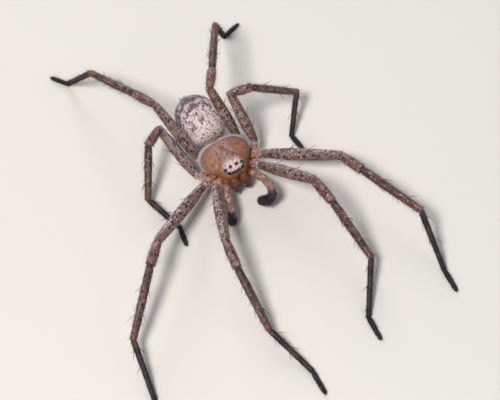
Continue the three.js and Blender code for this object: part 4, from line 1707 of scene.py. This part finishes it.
@dataclass
class Head:
    """Shield, eyes, and the chest below."""

    shield: CarapaceForm = CarapaceForm()
    chest: TrunkForm = TrunkForm()
    columns: int = 160
    chest_columns: int = 96
    tube_columns: int = 24
    eye_names: tuple[str, ...] = ("ame", "ale", "pme", "ple")
    collar_bulge: float = 0.1
    collar_level: float = 0.18
    collar_width: float = 0.1
    lens_drop: float = 0.6
    lens_sideways: float = 0.45
    lens_columns: int = 32
    lens_rows: int = 24
    endite_x: float = 0.7
    endite_tip_x: float = 0.77
    endite_from: float = -1.4
    endite_to: float = -2.55
    endite_z: float = 1.88
    endite_radii: Row = (0.35, 0.39, 0.28)
    lip_radii: Row = (0.42, 0.4, 0.3)
    eyes: dict[str, tuple[Numbers, float]] = field(default_factory=dict)

    def find_eyes(self) -> None:
        """Read the place and radius of each eye from the frame."""
        for name in self.eye_names:
            for side in Side:
                low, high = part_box(f"eye_{name}_{side.letter}")
                self.eyes[f"{name}_{side.letter}"] = (own_point((low + high) / 2), (high.z - low.z) / 2 / MM)

    def build(self) -> None:
        """Make the shield, the chest, the eyes and their hair."""
        self.find_eyes()
        finish = CarapaceFinish(self.eyes, self.shield.fovea_y)
        clothe("carapace_shell", {self.shield: self.columns}, finish, ["carapace"])
        self.build_coat(finish)
        self.build_chest()
        self.build_eyes()

    def build_coat(self, finish: CarapaceFinish) -> None:
        """Short hair on the shield, bristles on the head and a pale fringe round the rear edge.

        Args:
            finish: Markings of the shield.
        """
        centres = [place for place, _ in self.eyes.values()]
        black_line = finish.between_eyes()
        rim = self.shield.outline

        def off(points: Sequence[Numbers], places: Numbers) -> Numbers:
            """Distance to the nearest of several points."""
            return np.min([np.linalg.norm(places - point, axis=1) for point in points], axis=0)

        def clear(marks: Marks, places: Numbers) -> Numbers:
            """Share of hair that grows: none on the lenses, on the black line and below the rim."""
            bare = smooth(0.24, 0.34, off(centres, places)) * smooth(0.14, 0.24, off(black_line, places))
            return bare * smooth(3.7, 3.95, places[:, 2])

        def on_rim(places: Numbers) -> Numbers:
            """1 on the rim's upper edge and 0 elsewhere."""
            across, back = places[:, 0], places[:, 1] - rim.middle
            out = np.hypot(across, back) / rim.reach(np.arctan2(back, across))
            return smooth(0.955, 0.975, out) * (places[:, 2] > 3.84)

        piles = [
            Pile(6600, (0.12, 0.24), 0.022, (12, 30), 0.15, 22, 0.05, clear),
            Pile(330, (0.22, 0.42), 0.034, (14, 40), 0.2, 30, 0.85,
                 lambda m, p: clear(m, p) * smooth(0.5, 1.5, -p[:, 1])
                 * smooth(1.6, 0.8, np.abs(p[:, 0])) * smooth(4.5, 4.8, p[:, 2]), (0.0, 0.5)),
            Pile(700, (0.25, 0.45), 0.026, (10, 30), 0.15, 30, 0.6, clear, (0.0, 0.45)),
            Pile(700, (0.16, 0.34), 0.03, (30, 70), 0.06, 22, 0.75,
                 lambda m, p: on_rim(p) * smooth(-1.4, 0.8, p[:, 1]), (0.38, 0.5)),
            Pile(1900, (0.45, 0.9), 0.042, (35, 75), 0.06, 20, 1.0,
                 lambda m, p: on_rim(p) * smooth(1.6, 2.6, p[:, 1]), (0.38, 0.5)),
            Pile(110, (0.7, 1.2), 0.032, (40, 70), 0.25, 25, 0.0,
                 lambda m, p: clear(m, p) * smooth(-0.5, 2.2, -p[:, 1])),
        ]
        cover("carapace_hair", grown(self.shield, piles, Seed.SHIELD), finish)

    def build_chest(self) -> None:
        """Chest with sternum, lip and the two plates beside the mouth."""
        finish = LimbFinish("underside", base="96683f", root="96683f", tip="a87b55", under="96683f",
                            speck="5d3a2a", turn=(8.0, 9.0), speck_amount=0.4)
        ends = ((self.endite_x, self.endite_from), (self.endite_tip_x, self.endite_to))
        tubes = [Tube([(side.value * x, y, self.endite_z) for x, y in ends], [self.endite_radii])
                 for side in Side]
        tubes.append(Tube([(0, -1.3, 2.0), (0, -2.5, 2.05)], [self.lip_radii]))
        waist = Tube([(0, 2.0, 2.9), (0, 4.1, 2.95)], [(0.48, 0.4, 0.42, 0.46)])
        forms = {self.chest: self.chest_columns, **dict.fromkeys([*tubes, waist], self.tube_columns)}
        clothe("underside", forms, finish, ["sternum", "pedicel"])
        fur = Pile(2400, (0.2, 0.42), 0.026, (14, 34), where=lambda m, p: p[:, 2] < 3.4)
        mouth = Pile(160, (0.25, 0.5), 0.028, (15, 45))
        growth = [fur.grow(self.chest, Seed.CHEST)]
        growth += [mouth.grow(tube, Seed.MOUTH + i) for i, tube in enumerate(tubes)]
        cover("underside_hair", growth, finish)

    def build_eyes(self) -> None:
        """A lens in a low collar at each eye's place."""
        # Teal painted highlights on the front middle eyes, grey-red ones on the others.
        front = EyeFinish("front_eye", "5c7f7c", 0.75).material()
        other = EyeFinish("eye", "5e5055", 0.5).material()
        middle = np.array([0.0, 0.0, (self.shield.rim + self.shield.top) / 2 - self.lens_drop])
        for name, (centre, radius) in self.eyes.items():
            outward = unit(centre - middle - [0.0, centre[1] * self.lens_sideways, 0.0])
            ball = bmesh.new()
            bmesh.ops.create_uvsphere(ball, u_segments=self.lens_columns, v_segments=self.lens_rows,
                                      radius=radius)
            rise, glint = (ball.verts.layers.float.new(mark) for mark in ("rise", "glint"))
            for vertex in ball.verts:
                level = vertex.co.z / radius
                vertex[rise] = level
                from_collar = (level - self.collar_level) / self.collar_width
                vertex.co.xy *= 1 + self.collar_bulge * math.exp(-(from_collar**2))
            turn = Vector((0, 0, 1)).rotation_difference(Vector(outward)).to_matrix().to_4x4()
            bmesh.ops.transform(ball, matrix=Matrix.Translation(Vector(centre)) @ turn, verts=ball.verts)
            # Direction of the painted highlight: out of the eye and upwards.
            lit = Vector(unit(outward + [0.0, 0.0, 0.6]))
            for vertex in ball.verts:
                vertex[glint] = (vertex.co - Vector(centre)).normalized().dot(lit)
            for face in ball.faces:
                face.smooth = True
            material = front if name.startswith("ame") else other
            settle(f"lens_{name}", meshed([ball]), material, [f"eye_{name}"])


@dataclass
class Abdomen:
    """Abdomen with its spinnerets as one skin, and its fur."""

    body: AbdomenForm = AbdomenForm()
    columns: int = 128
    cone_columns: int = 20
    spinneret_below: float = 0.9
    spinneret_inset: float = -0.35
    spinneret_length: float = 1.3
    spinneret_drop: float = 0.15
    spinneret_spread: Span = (0.24, 0.48)
    spinneret_radii: Row = (0.36, 0.3, 0.19)

    def spinnerets(self) -> list[Tube]:
        """Four short cones at the rear end.

        Returns:
            Their forms.
        """
        turn = Matrix.Rotation(math.radians(self.body.turn), 4, "Z")
        pivot = Vector((0, self.body.turn_y, 0))
        rear = self.body.y + self.body.long + self.spinneret_inset
        ends = ((self.spinneret_spread[0], rear, 0.0),
                (self.spinneret_spread[1], rear + self.spinneret_length, self.spinneret_drop))
        tubes = []
        for i in range(4):
            angle = (i + 0.5) * math.pi / 2
            joints = []
            for spread, y, drop in ends:
                height = self.body.z - self.spinneret_below + math.sin(angle) * spread - drop
                joints.append(turn @ (Vector((math.cos(angle) * spread, y, height)) - pivot) + pivot)
            tubes.append(Tube([tuple(j) for j in joints], [self.spinneret_radii]))
        return tubes

    def build(self) -> None:
        """Make the skin and three kinds of hair."""
        finish = AbdomenFinish()
        tails = self.spinnerets()
        forms = {self.body: self.columns, **dict.fromkeys(tails, self.cone_columns)}
        clothe("abdomen_skin", forms, finish, ["abdomen", "spinnerets"])
        piles = [
            Pile(15200, (0.11, 0.22), 0.026, (8, 24), 0.1, 18, 0.0),
            Pile(1500, (0.35, 0.65), 0.026, (24, 48), 0.3, 22, 0.3),
        ]
        growth = grown(self.body, piles, Seed.ABDOMEN)
        cone = Pile(130, (0.25, 0.5), 0.026, (10, 35))
        growth += [cone.grow(tail, Seed.SPINNERETS + i) for i, tail in enumerate(tails)]
        cover("abdomen_fur", growth, finish)


@dataclass
class Jaw:
    """One chelicera and its fang."""

    side: Side
    joints: tuple[Point, ...] = ((0.7, -2.5, 3.5), (0.75, -2.9, 3.15), (0.83, -3.42, 2.7), (0.96, -3.88, 1.7))
    radii: tuple[Row, ...] = ((0.6, 0.72), (0.72, 0.8, 0.82), (0.82, 0.74, 0.5))
    fang_joints: tuple[Point, ...] = (
        (0.97, -3.8, 1.85), (1.06, -4.15, 1.3), (0.78, -4.1, 0.95), (0.38, -3.85, 0.85),
    )
    fang_radii: tuple[Row, ...] = ((0.22, 0.26), (0.26, 0.22), (0.2, 0.14, 0.03))
    columns: int = 48
    fang_columns: int = 24

    def mirrored(self, points: Sequence[Point]) -> list[Point]:
        """Points on this side of the middle line."""
        return [(self.side.value * x, y, z) for x, y, z in points]

    def build(self, finish: LimbFinish, fang: bpy.types.Material) -> None:
        """Make the jaw, its bristles and its fang.

        Args:
            finish: Markings of the jaws.
            fang: Finish of the fangs.
        """
        letter = self.side.letter
        limb = Tube(self.mirrored(self.joints), self.radii, Collar(tip_length=0.45), upright=2, soft=())
        clothe(f"jaw_{letter}", {limb: self.columns}, finish, [f"chelicera_{letter}"])
        tooth = Tube(self.mirrored(self.fang_joints), self.fang_radii, Collar(tip_length=0.12), soft=())
        skin = meshed([tooth.shape(self.fang_columns)])
        settle(f"fang_tooth_{letter}", skin, fang, [f"fang_{letter}"])
        piles = [
            Pile(1100, (0.18, 0.36), 0.024, (15, 40), 0.15, 25, 0.0),
            Pile(360, (0.3, 0.6), 0.032, (15, 45), 0.15, 25, 0.15),
            Pile(120, (0.5, 0.9), 0.026, (30, 60), 0.2, 25, 0.0),
            Pile(260, (0.35, 0.8), 0.03, (20, 60), 0.25, 30, 0.5,
                 lambda m, p: smooth(2.4, 1.6, p[:, 2]), (0.6, 1.0)),
        ]
        cover(f"jaw_hair_{letter}", grown(limb, piles, Seed.JAWS), finish)


@dataclass
class Palp:
    """One feeler-like palp."""

    side: Side
    joints: tuple[Point, ...]
    seed: int
    base: Point = (1.4, -2.25, 2.75)
    radii: Row = (0.6, 0.58, 0.5, 0.6, 0.63, 0.65, 0.68, 0.47)
    columns: int = 32

    def build(self, finish: LimbFinish) -> None:
        """Make the skin and its hair, denser towards the tip.

        Args:
            finish: Markings of the palps.
        """
        parts = [(near * 0.97 + far * 0.03, (near + far) / 2 * 1.04, far)
                 for near, far in zip(self.radii, self.radii[1:])]
        x, y, z = self.base
        joints = [(self.side.value * x, y, z), *self.joints]
        limb = Tube(joints, parts, Collar(neck=0.86, rim=0.9, tip_length=0.4), upright=2)
        letter = self.side.letter
        clothe(f"palp_skin_{letter}", {limb: self.columns}, finish, [f"palp_{letter}"])
        piles = [
            Pile(2600, (0.15, 0.32), 0.026, (12, 32), 0.12, 20, 0.05),
            Pile(2300, (0.35, 0.6), 0.028, (28, 55), 0.2, 22, 0.0, lambda m, p: smooth(4.9, 5.8, m["part"])),
            Pile(320, (0.5, 0.9), 0.026, (35, 65), 0.2, 24, 0.5),
        ]
        cover(f"palp_hair_{letter}", grown(limb, piles, self.seed), finish)


@dataclass(frozen=True)
class Pair:
    """Sizes of one pair of legs: hip places, segment lengths and girth."""

    root: Span
    hip: Span
    lengths: Row
    girth: float


@dataclass(frozen=True)
class LegPose:
    """Headings of femur, patella, tibia, metatarsus and tarsus, and rises of the first three, in degrees."""

    heading: Row
    rise: Row


PAIRS = {
    1: Pair((1.62, -1.78), (3.7, -2.8), (12.0, 4.5, 9.9, 8.7, 3.9), 1.0),
    2: Pair((2.15, -0.75), (4.9, -1.3), (12.7, 4.2, 11.0, 9.3, 3.6), 1.02),
    3: Pair((2.18, 0.5), (5.1, 0.9), (8.8, 3.3, 8.3, 6.6, 3.1), 0.94),
    4: Pair((1.75, 1.7), (3.4, 3.2), (10.7, 3.8, 10.0, 9.6, 3.0), 0.93),
}
POSES = {
    "l1": LegPose((-65, -83, -83, -125, -94), (27, -3, -32)),
    "r1": LegPose((-108, -98, -93, -75, -92), (21, -12, -24)),
    "l2": LegPose((-42, -72, -70, -99, -93), (11, 6, -2)),
    "r2": LegPose((-149, -133, -135, -101, -95), (16, 4, -17)),
    "l3": LegPose((92, -5, -13, -132, -84), (55, -14, -39)),
    "r3": LegPose((100, -145, -128, -73, -100), (25, 9, -42)),
    "l4": LegPose((108, 58, 61, 60, 17), (70, -12, -16)),
    "r4": LegPose((107, 115, 112, 121, 122), (47, -1, -16)),
}
SEGMENTS = ("coxa", "femur", "tibia", "metatarsus", "tarsus")


@dataclass
class Leg:
    """One leg from the coxa to the claws, as one skin."""

    name: str
    seed: int
    hip_height: float = 2.75
    deeper: float = 0.55
    trochanter: float = 0.85
    ankle_height: float = 0.4
    tip_height: float = 0.22
    fur_depth: float = 0.04
    columns: int = 32
    usual_length: float = 45.0
    pattern_step: float = 17.3
    tufts: tuple[Span, ...] = ((1.0, 0.14), (1.85, 0.15))
    radii: tuple[Row, ...] = (
        (0.4, 0.52, 0.64, 0.68), (0.68, 0.7, 0.68), (0.68, 0.95, 0.93, 0.74), (0.7, 0.8, 0.78),
        (0.62, 0.68, 0.64, 0.58), (0.52, 0.46, 0.42, 0.4), (0.37, 0.38, 0.36, 0.3),
    )
    spine_rows: tuple[tuple[int, Row, Row], ...] = (
        (2, (0.3, 0.62), (90, 20, 160)),
        (4, (0.3, 0.68), (15, 165, -60, -120)),
        (5, (0.14, 0.46), (20, 160)),
    )

    @property
    def pair(self) -> Pair:
        """Sizes of this leg's pair."""
        return PAIRS[int(self.name[1])]

    @property
    def side(self) -> int:
        """1 on the animal's left and -1 on its right."""
        return 1 if self.name.startswith("l") else -1

    def joints(self) -> list[Point]:
        """Places of the joints from inside the chest to the tip of the foot.

        Returns:
            Points in millimetres.
        """
        pair, pose = self.pair, POSES[self.name]
        places = [Vector((self.side * pair.hip[0], pair.hip[1], self.hip_height))]
        drops = {3: self.ankle_height, 4: self.tip_height}
        for i, length in enumerate(pair.lengths):
            start = places[-1]
            rise = math.asin((drops[i] - start.z) / length) if i in drops else math.radians(pose.rise[i])
            turn = math.radians(pose.heading[i])
            level = length * math.cos(rise)
            step = Vector((level * math.cos(turn), level * math.sin(turn), length * math.sin(rise)))
            places.append(start + step)
        root = Vector((self.side * pair.root[0], pair.root[1], self.hip_height))
        inward = (places[0] - root).normalized()
        between = (inward + (places[1] - places[0]).normalized()).normalized()
        trochanter = places[0] - between * self.trochanter
        return [tuple(place) for place in (root - inward * self.deeper, trochanter, *places)]

    def on_hip(self, marks: Marks, places: Numbers) -> Numbers:
        """How densely the pale tufts of the hip stand: on top, near the ends of its two parts.

        Args:
            marks: Numbers of the pattern.
            places: Points on the leg.

        Returns:
            The density.
        """
        part = marks["part"]
        ends = sum(np.exp(-(((part - middle) / width) ** 2)) for middle, width in self.tufts) + 0.05
        bunches = smooth(0.55, 1.0, ripples(places, 0.5, 11)) + 0.02
        on_coxa = smooth(0.7, 0.85, part) * smooth(2.05, 1.98, part)
        return bunches * ends * on_coxa * smooth(-0.2, 0.5, marks["upper"])

    def limb(self) -> Tube:
        """The leg as one tube."""
        radii = [[r * self.pair.girth - self.fur_depth for r in part] for part in self.radii]
        offset = self.pattern_step * self.seed
        return Tube(self.joints(), radii, upright=2, floor=FLOOR_CLEARANCE, offset=offset)

    def build(self, finish: LegFinish) -> Tube:
        """Make the skin and its coat.

        Args:
            finish: Markings of the legs.

        Returns:
            The leg's form, for its spines and claws.
        """
        limb = self.limb()
        nodes = [f"{segment}_{self.name}" for segment in SEGMENTS]
        clothe(f"leg_{self.name}", {limb: self.columns}, finish, nodes)
        short = limb.lengths.sum() / self.usual_length
        piles = [
            Pile(round(7600 * short), (0.1, 0.21), 0.026, (10, 26), 0.12, 16, 0.0,
                 lambda m, p: 0.2 + 0.8 * smooth(1.0, 2.2, m["part"])),
            Pile(round(1500 * short), (0.35, 0.6), 0.026, (30, 58), 0.22, 20, 0.5,
                 lambda m, p: smooth(2.0, 2.3, m["part"])),
            Pile(round(1900 * short), (0.26, 0.45), 0.028, (30, 55), 0.15, 18, 0.15,
                 lambda m, p: smooth(2.8, 3.4, m["part"]), (0.4, 1.0)),
            Pile(170, (0.35, 0.7), 0.05, (20, 55), 0.2, 26, 1.0, self.on_hip, (0.1, 0.3)),
            Pile(round(420 * short), (0.8, 1.35), 0.026, (40, 72), 0.2, 22, 0.1,
                 lambda m, p: smooth(2.6, 3.2, m["part"])),
            Pile(2400, (0.16, 0.3), 0.03, (40, 70), 0.1, 20, 0.0,
                 lambda m, p: smooth(5.0, 5.6, m["part"]) * smooth(0.2, -0.5, m["upper"]), (5 / 7, 1.0)),
        ]
        cover(f"leg_fur_{self.name}", grown(limb, piles, Seed.LEGS + 10 * self.seed), finish)
        return limb

    def spines(self, limb: Tube) -> Blades:
        """Long dark spines in rows.

        Args:
            limb: The leg's form.

        Returns:
            The spines.
        """
        draw = np.random.default_rng(Seed.SPINES + self.seed)
        spots = [(part, at, degrees) for part, shares, angles in self.spine_rows
                 for at in shares for degrees in angles]
        part, at, degrees = (np.array(column, float) for column in zip(*spots))
        along = (part + at + draw.uniform(-0.05, 0.05, len(at))) / limb.count
        around = ((degrees + 90 + draw.uniform(-8, 8, len(at))) / 360) % 1.0
        marks = limb.marks(around, along)
        count = len(at)
        marks["tone"] = draw.uniform(size=count)
        return Blades(
            roots=limb.places(around, along), outward=limb.normals(around, along),
            lie=limb.lie(around, along),
            length=draw.uniform(1.5, 2.1, count), width=draw.uniform(0.075, 0.1, count),
            lift=np.radians(draw.uniform(30, 48, count)), droop=draw.uniform(0.05, 0.2, count),
            chart=limb.unwrap(around, along), marks=marks,
        )

    def claws(self, limb: Tube) -> Blades:
        """Two curved claws at the tip of the foot.

        Args:
            limb: The leg's form.

        Returns:
            The claws.
        """
        around = np.array([0.36, 0.64])
        along = np.full(2, 1 - 0.1 / limb.lengths[-1] / limb.count)
        marks = limb.marks(around, along)
        marks["tone"] = np.zeros(2)
        forward = np.repeat(limb.axes[-1:], 2, axis=0)
        upward = np.repeat([[0.0, 0.0, 1.0]], 2, axis=0)
        return Blades(
            roots=limb.places(around, along), outward=upward, lie=forward, length=np.full(2, 0.5),
            width=np.full(2, 0.12), lift=np.radians([28.0, 28.0]), droop=np.full(2, 0.75),
            chart=limb.unwrap(around, along), marks=marks,
        )


@dataclass
class Spider:
    """The whole animal."""

    left_palp: tuple[Point, ...] = (
        (1.95, -2.95, 2.4), (2.45, -3.9, 3.0), (2.98, -6.0, 3.85), (3.2, -7.3, 3.7),
        (2.95, -8.5, 3.0), (1.9, -8.38, 1.95), (0.9, -7.36, 1.3),
    )
    right_palp: tuple[Point, ...] = (
        (-1.9, -2.95, 2.4), (-2.4, -3.8, 2.8), (-3.12, -6.0, 2.95), (-3.52, -7.15, 2.95),
        (-3.85, -7.85, 2.35), (-4.15, -8.1, 1.3), (-4.25, -8.0, 0.85),
    )
    # Legs that take the darker copy of the leg finish: painted shade for the side turned away from the key
    # light.
    painted_shade_legs: tuple[str, ...] = ("l3", "l4")

    def build(self) -> None:
        """Build every part in order."""
        Head().build()
        Abdomen().build()
        jaw = LimbFinish("jaw", base="8c4a24", root="7c4430", tip="361a0d", under="5e321c", speck="32150d",
                         turn=(2.2, 3.0), pale="a87054", skin_roughness=0.42)
        fang = PlainFinish("fang", "120807", "2a120c", 0.16, 0.6).material()
        for side in Side:
            Jaw(side).build(jaw, fang)
        palp = LimbFinish("palp", base="9c5a30", root="a67a68", tip="2b1c20", under="8a5a42", speck="4a231f",
                          turn=(4.1, 4.8), speck_amount=0.9, pale="ead4c2")
        Palp(Side.LEFT, self.left_palp, Seed.LEFT_PALP).build(palp)
        Palp(Side.RIGHT, self.right_palp, Seed.RIGHT_PALP).build(palp)
        cool = LegFinish()
        # A copy of the leg finish with a darker thigh and upper rear band and a redder knee and shin, for the
        # legs listed above: painted shade, not a colour of their own.
        painted_shade_finish = replace(cool, name="painted_shade_leg", thigh="7c5645", back_sheen="9d8480", knee="7c4a3a",
                       shin="6e4636")
        legs = [Leg(name, seed) for seed, name in enumerate(POSES)]
        limbs = [leg.build(painted_shade_finish if leg.name in self.painted_shade_legs else cool) for leg in legs]
        spines = [leg.spines(limb) for leg, limb in zip(legs, limbs)]
        claws = [leg.claws(limb) for leg, limb in zip(legs, limbs)]
        mesh = Blades.joined(spines).mesh(SPINE_SIDES, SPINE_LEVELS, sunk=0.08, taper=2.2)
        settle("leg_spines", mesh, SpineFinish().material())
        mesh = Blades.joined(claws).mesh(SPINE_SIDES, SPINE_LEVELS, sunk=0.1, taper=2.0)
        horn = PlainFinish("claw", "1a0f10", "2c1a18", 0.25, 0.3).material()
        settle("claws", mesh, horn)


@dataclass(frozen=True)
class Viewpoint:
    """Camera of the photo, turned with the animal onto the floor."""

    azimuth: float = -14.7
    elevation: float = 60.4
    roll: float = 16.6
    distance: float = 330.0
    focal_pixels: float = 2200.0
    picture: tuple[int, int] = (500, 400)
    aim: Point = (0.0, 0.0, 4.4)
    aim_pixel: Span = (226.7, 157.4)
    sensor: float = 36.0

    def build(self) -> None:
        """Make the camera and put it in place."""
        turn, lift, roll = (math.radians(v) for v in (self.azimuth, self.elevation, self.roll))
        back = Vector((math.sin(turn) * math.cos(lift), -math.cos(turn) * math.cos(lift), math.sin(lift)))
        level = Vector((math.cos(turn), math.sin(turn), 0))
        above = back.cross(level)
        right = math.cos(roll) * level - math.sin(roll) * above
        up = math.sin(roll) * level + math.cos(roll) * above
        aim = Vector(self.aim)
        depth = self.distance - aim.dot(back)
        wide, high = self.picture
        across = (self.aim_pixel[0] - wide / 2) * depth / self.focal_pixels - aim.dot(right)
        upward = (high / 2 - self.aim_pixel[1]) * depth / self.focal_pixels - aim.dot(up)
        place = self.distance * back - across * right - upward * up
        camera = added("camera", bpy.data.cameras.new("camera"))
        camera.data.sensor_width = self.sensor
        camera.data.lens = self.sensor * self.focal_pixels / wide
        camera.data.clip_start = 0.01
        turned = Matrix((right, up, back)).transposed().to_4x4()
        camera.matrix_world = Matrix.Translation((place + SHIFT) * MM) @ turned
        bpy.context.scene.camera = camera


@dataclass(frozen=True)
class Lamp:
    """One soft light: where it stands, how wide it is and how strong."""

    name: str
    place: Point
    size: float
    power: float
    colour: tuple[float, float, float] = (1.0, 1.0, 1.0)

    def build(self, target: Vector) -> None:
        """Make the light and point it at the animal.

        Args:
            target: Where it points, in metres.
        """
        data = bpy.data.lights.new(self.name, "AREA")
        data.shape = "DISK"
        data.size = self.size
        data.energy = self.power
        data.color = self.colour
        lamp = added(self.name, data)
        lamp.location = self.place
        lamp.rotation_euler = (Vector(self.place) - target).to_track_quat("Z", "Y").to_euler()


@dataclass(frozen=True)
class Studio:
    """Pale floor, soft lights and the camera."""

    floor_colour: str = "d8d4cd"
    floor_cloud: str = "bfbab2"
    floor_size: float = 4.0
    sky_colour: str = "eef0f4"
    sky: float = 0.25
    aim_height: float = 0.003
    lamps: tuple[Lamp, ...] = (
        Lamp("key", (-0.15, -0.08, 0.4), 0.14, 1.75, (1.0, 0.98, 0.96)),
        Lamp("fill", (0.3, -0.35, 0.25), 0.4, 0.4, (0.94, 0.96, 1.0)),
        Lamp("rim", (0.1, 0.42, 0.2), 0.2, 0.9, (0.97, 0.95, 1.0)),
    )

    def build(self) -> None:
        """Make the stage."""
        sheet = bmesh.new()
        bmesh.ops.create_grid(sheet, x_segments=2, y_segments=2, size=self.floor_size / 2)
        mesh = bpy.data.meshes.new("floor")
        sheet.to_mesh(mesh)
        sheet.free()
        shader = Shader("floor")
        place = shader.node("ShaderNodeTexCoord", {}, {}, "Object")
        cloud = shader.noise(place, 30.0, 3.0)
        tone = shader.blend(cloud * 0.12, self.floor_colour, self.floor_cloud)
        mesh.materials.append(shader.dressed(tone, 0.8))
        added("floor", mesh)
        world = bpy.data.worlds.new("studio")
        world.use_nodes = True
        backdrop = world.node_tree.nodes["Background"]
        backdrop.inputs["Color"].default_value = linear(self.sky_colour)
        backdrop.inputs["Strength"].default_value = self.sky
        bpy.context.scene.world = world
        bpy.context.scene.view_settings.view_transform = "Standard"
        target = Vector((0, 0, self.aim_height)) + SHIFT * MM
        for lamp in self.lamps:
            lamp.build(target)
        Viewpoint().build()


def main() -> None:
    """Build the stage and the animal."""
    logging.basicConfig(level=logging.INFO, format="%(message)s")
    Studio().build()
    Spider().build()


if __name__ == "__main__":
    main()
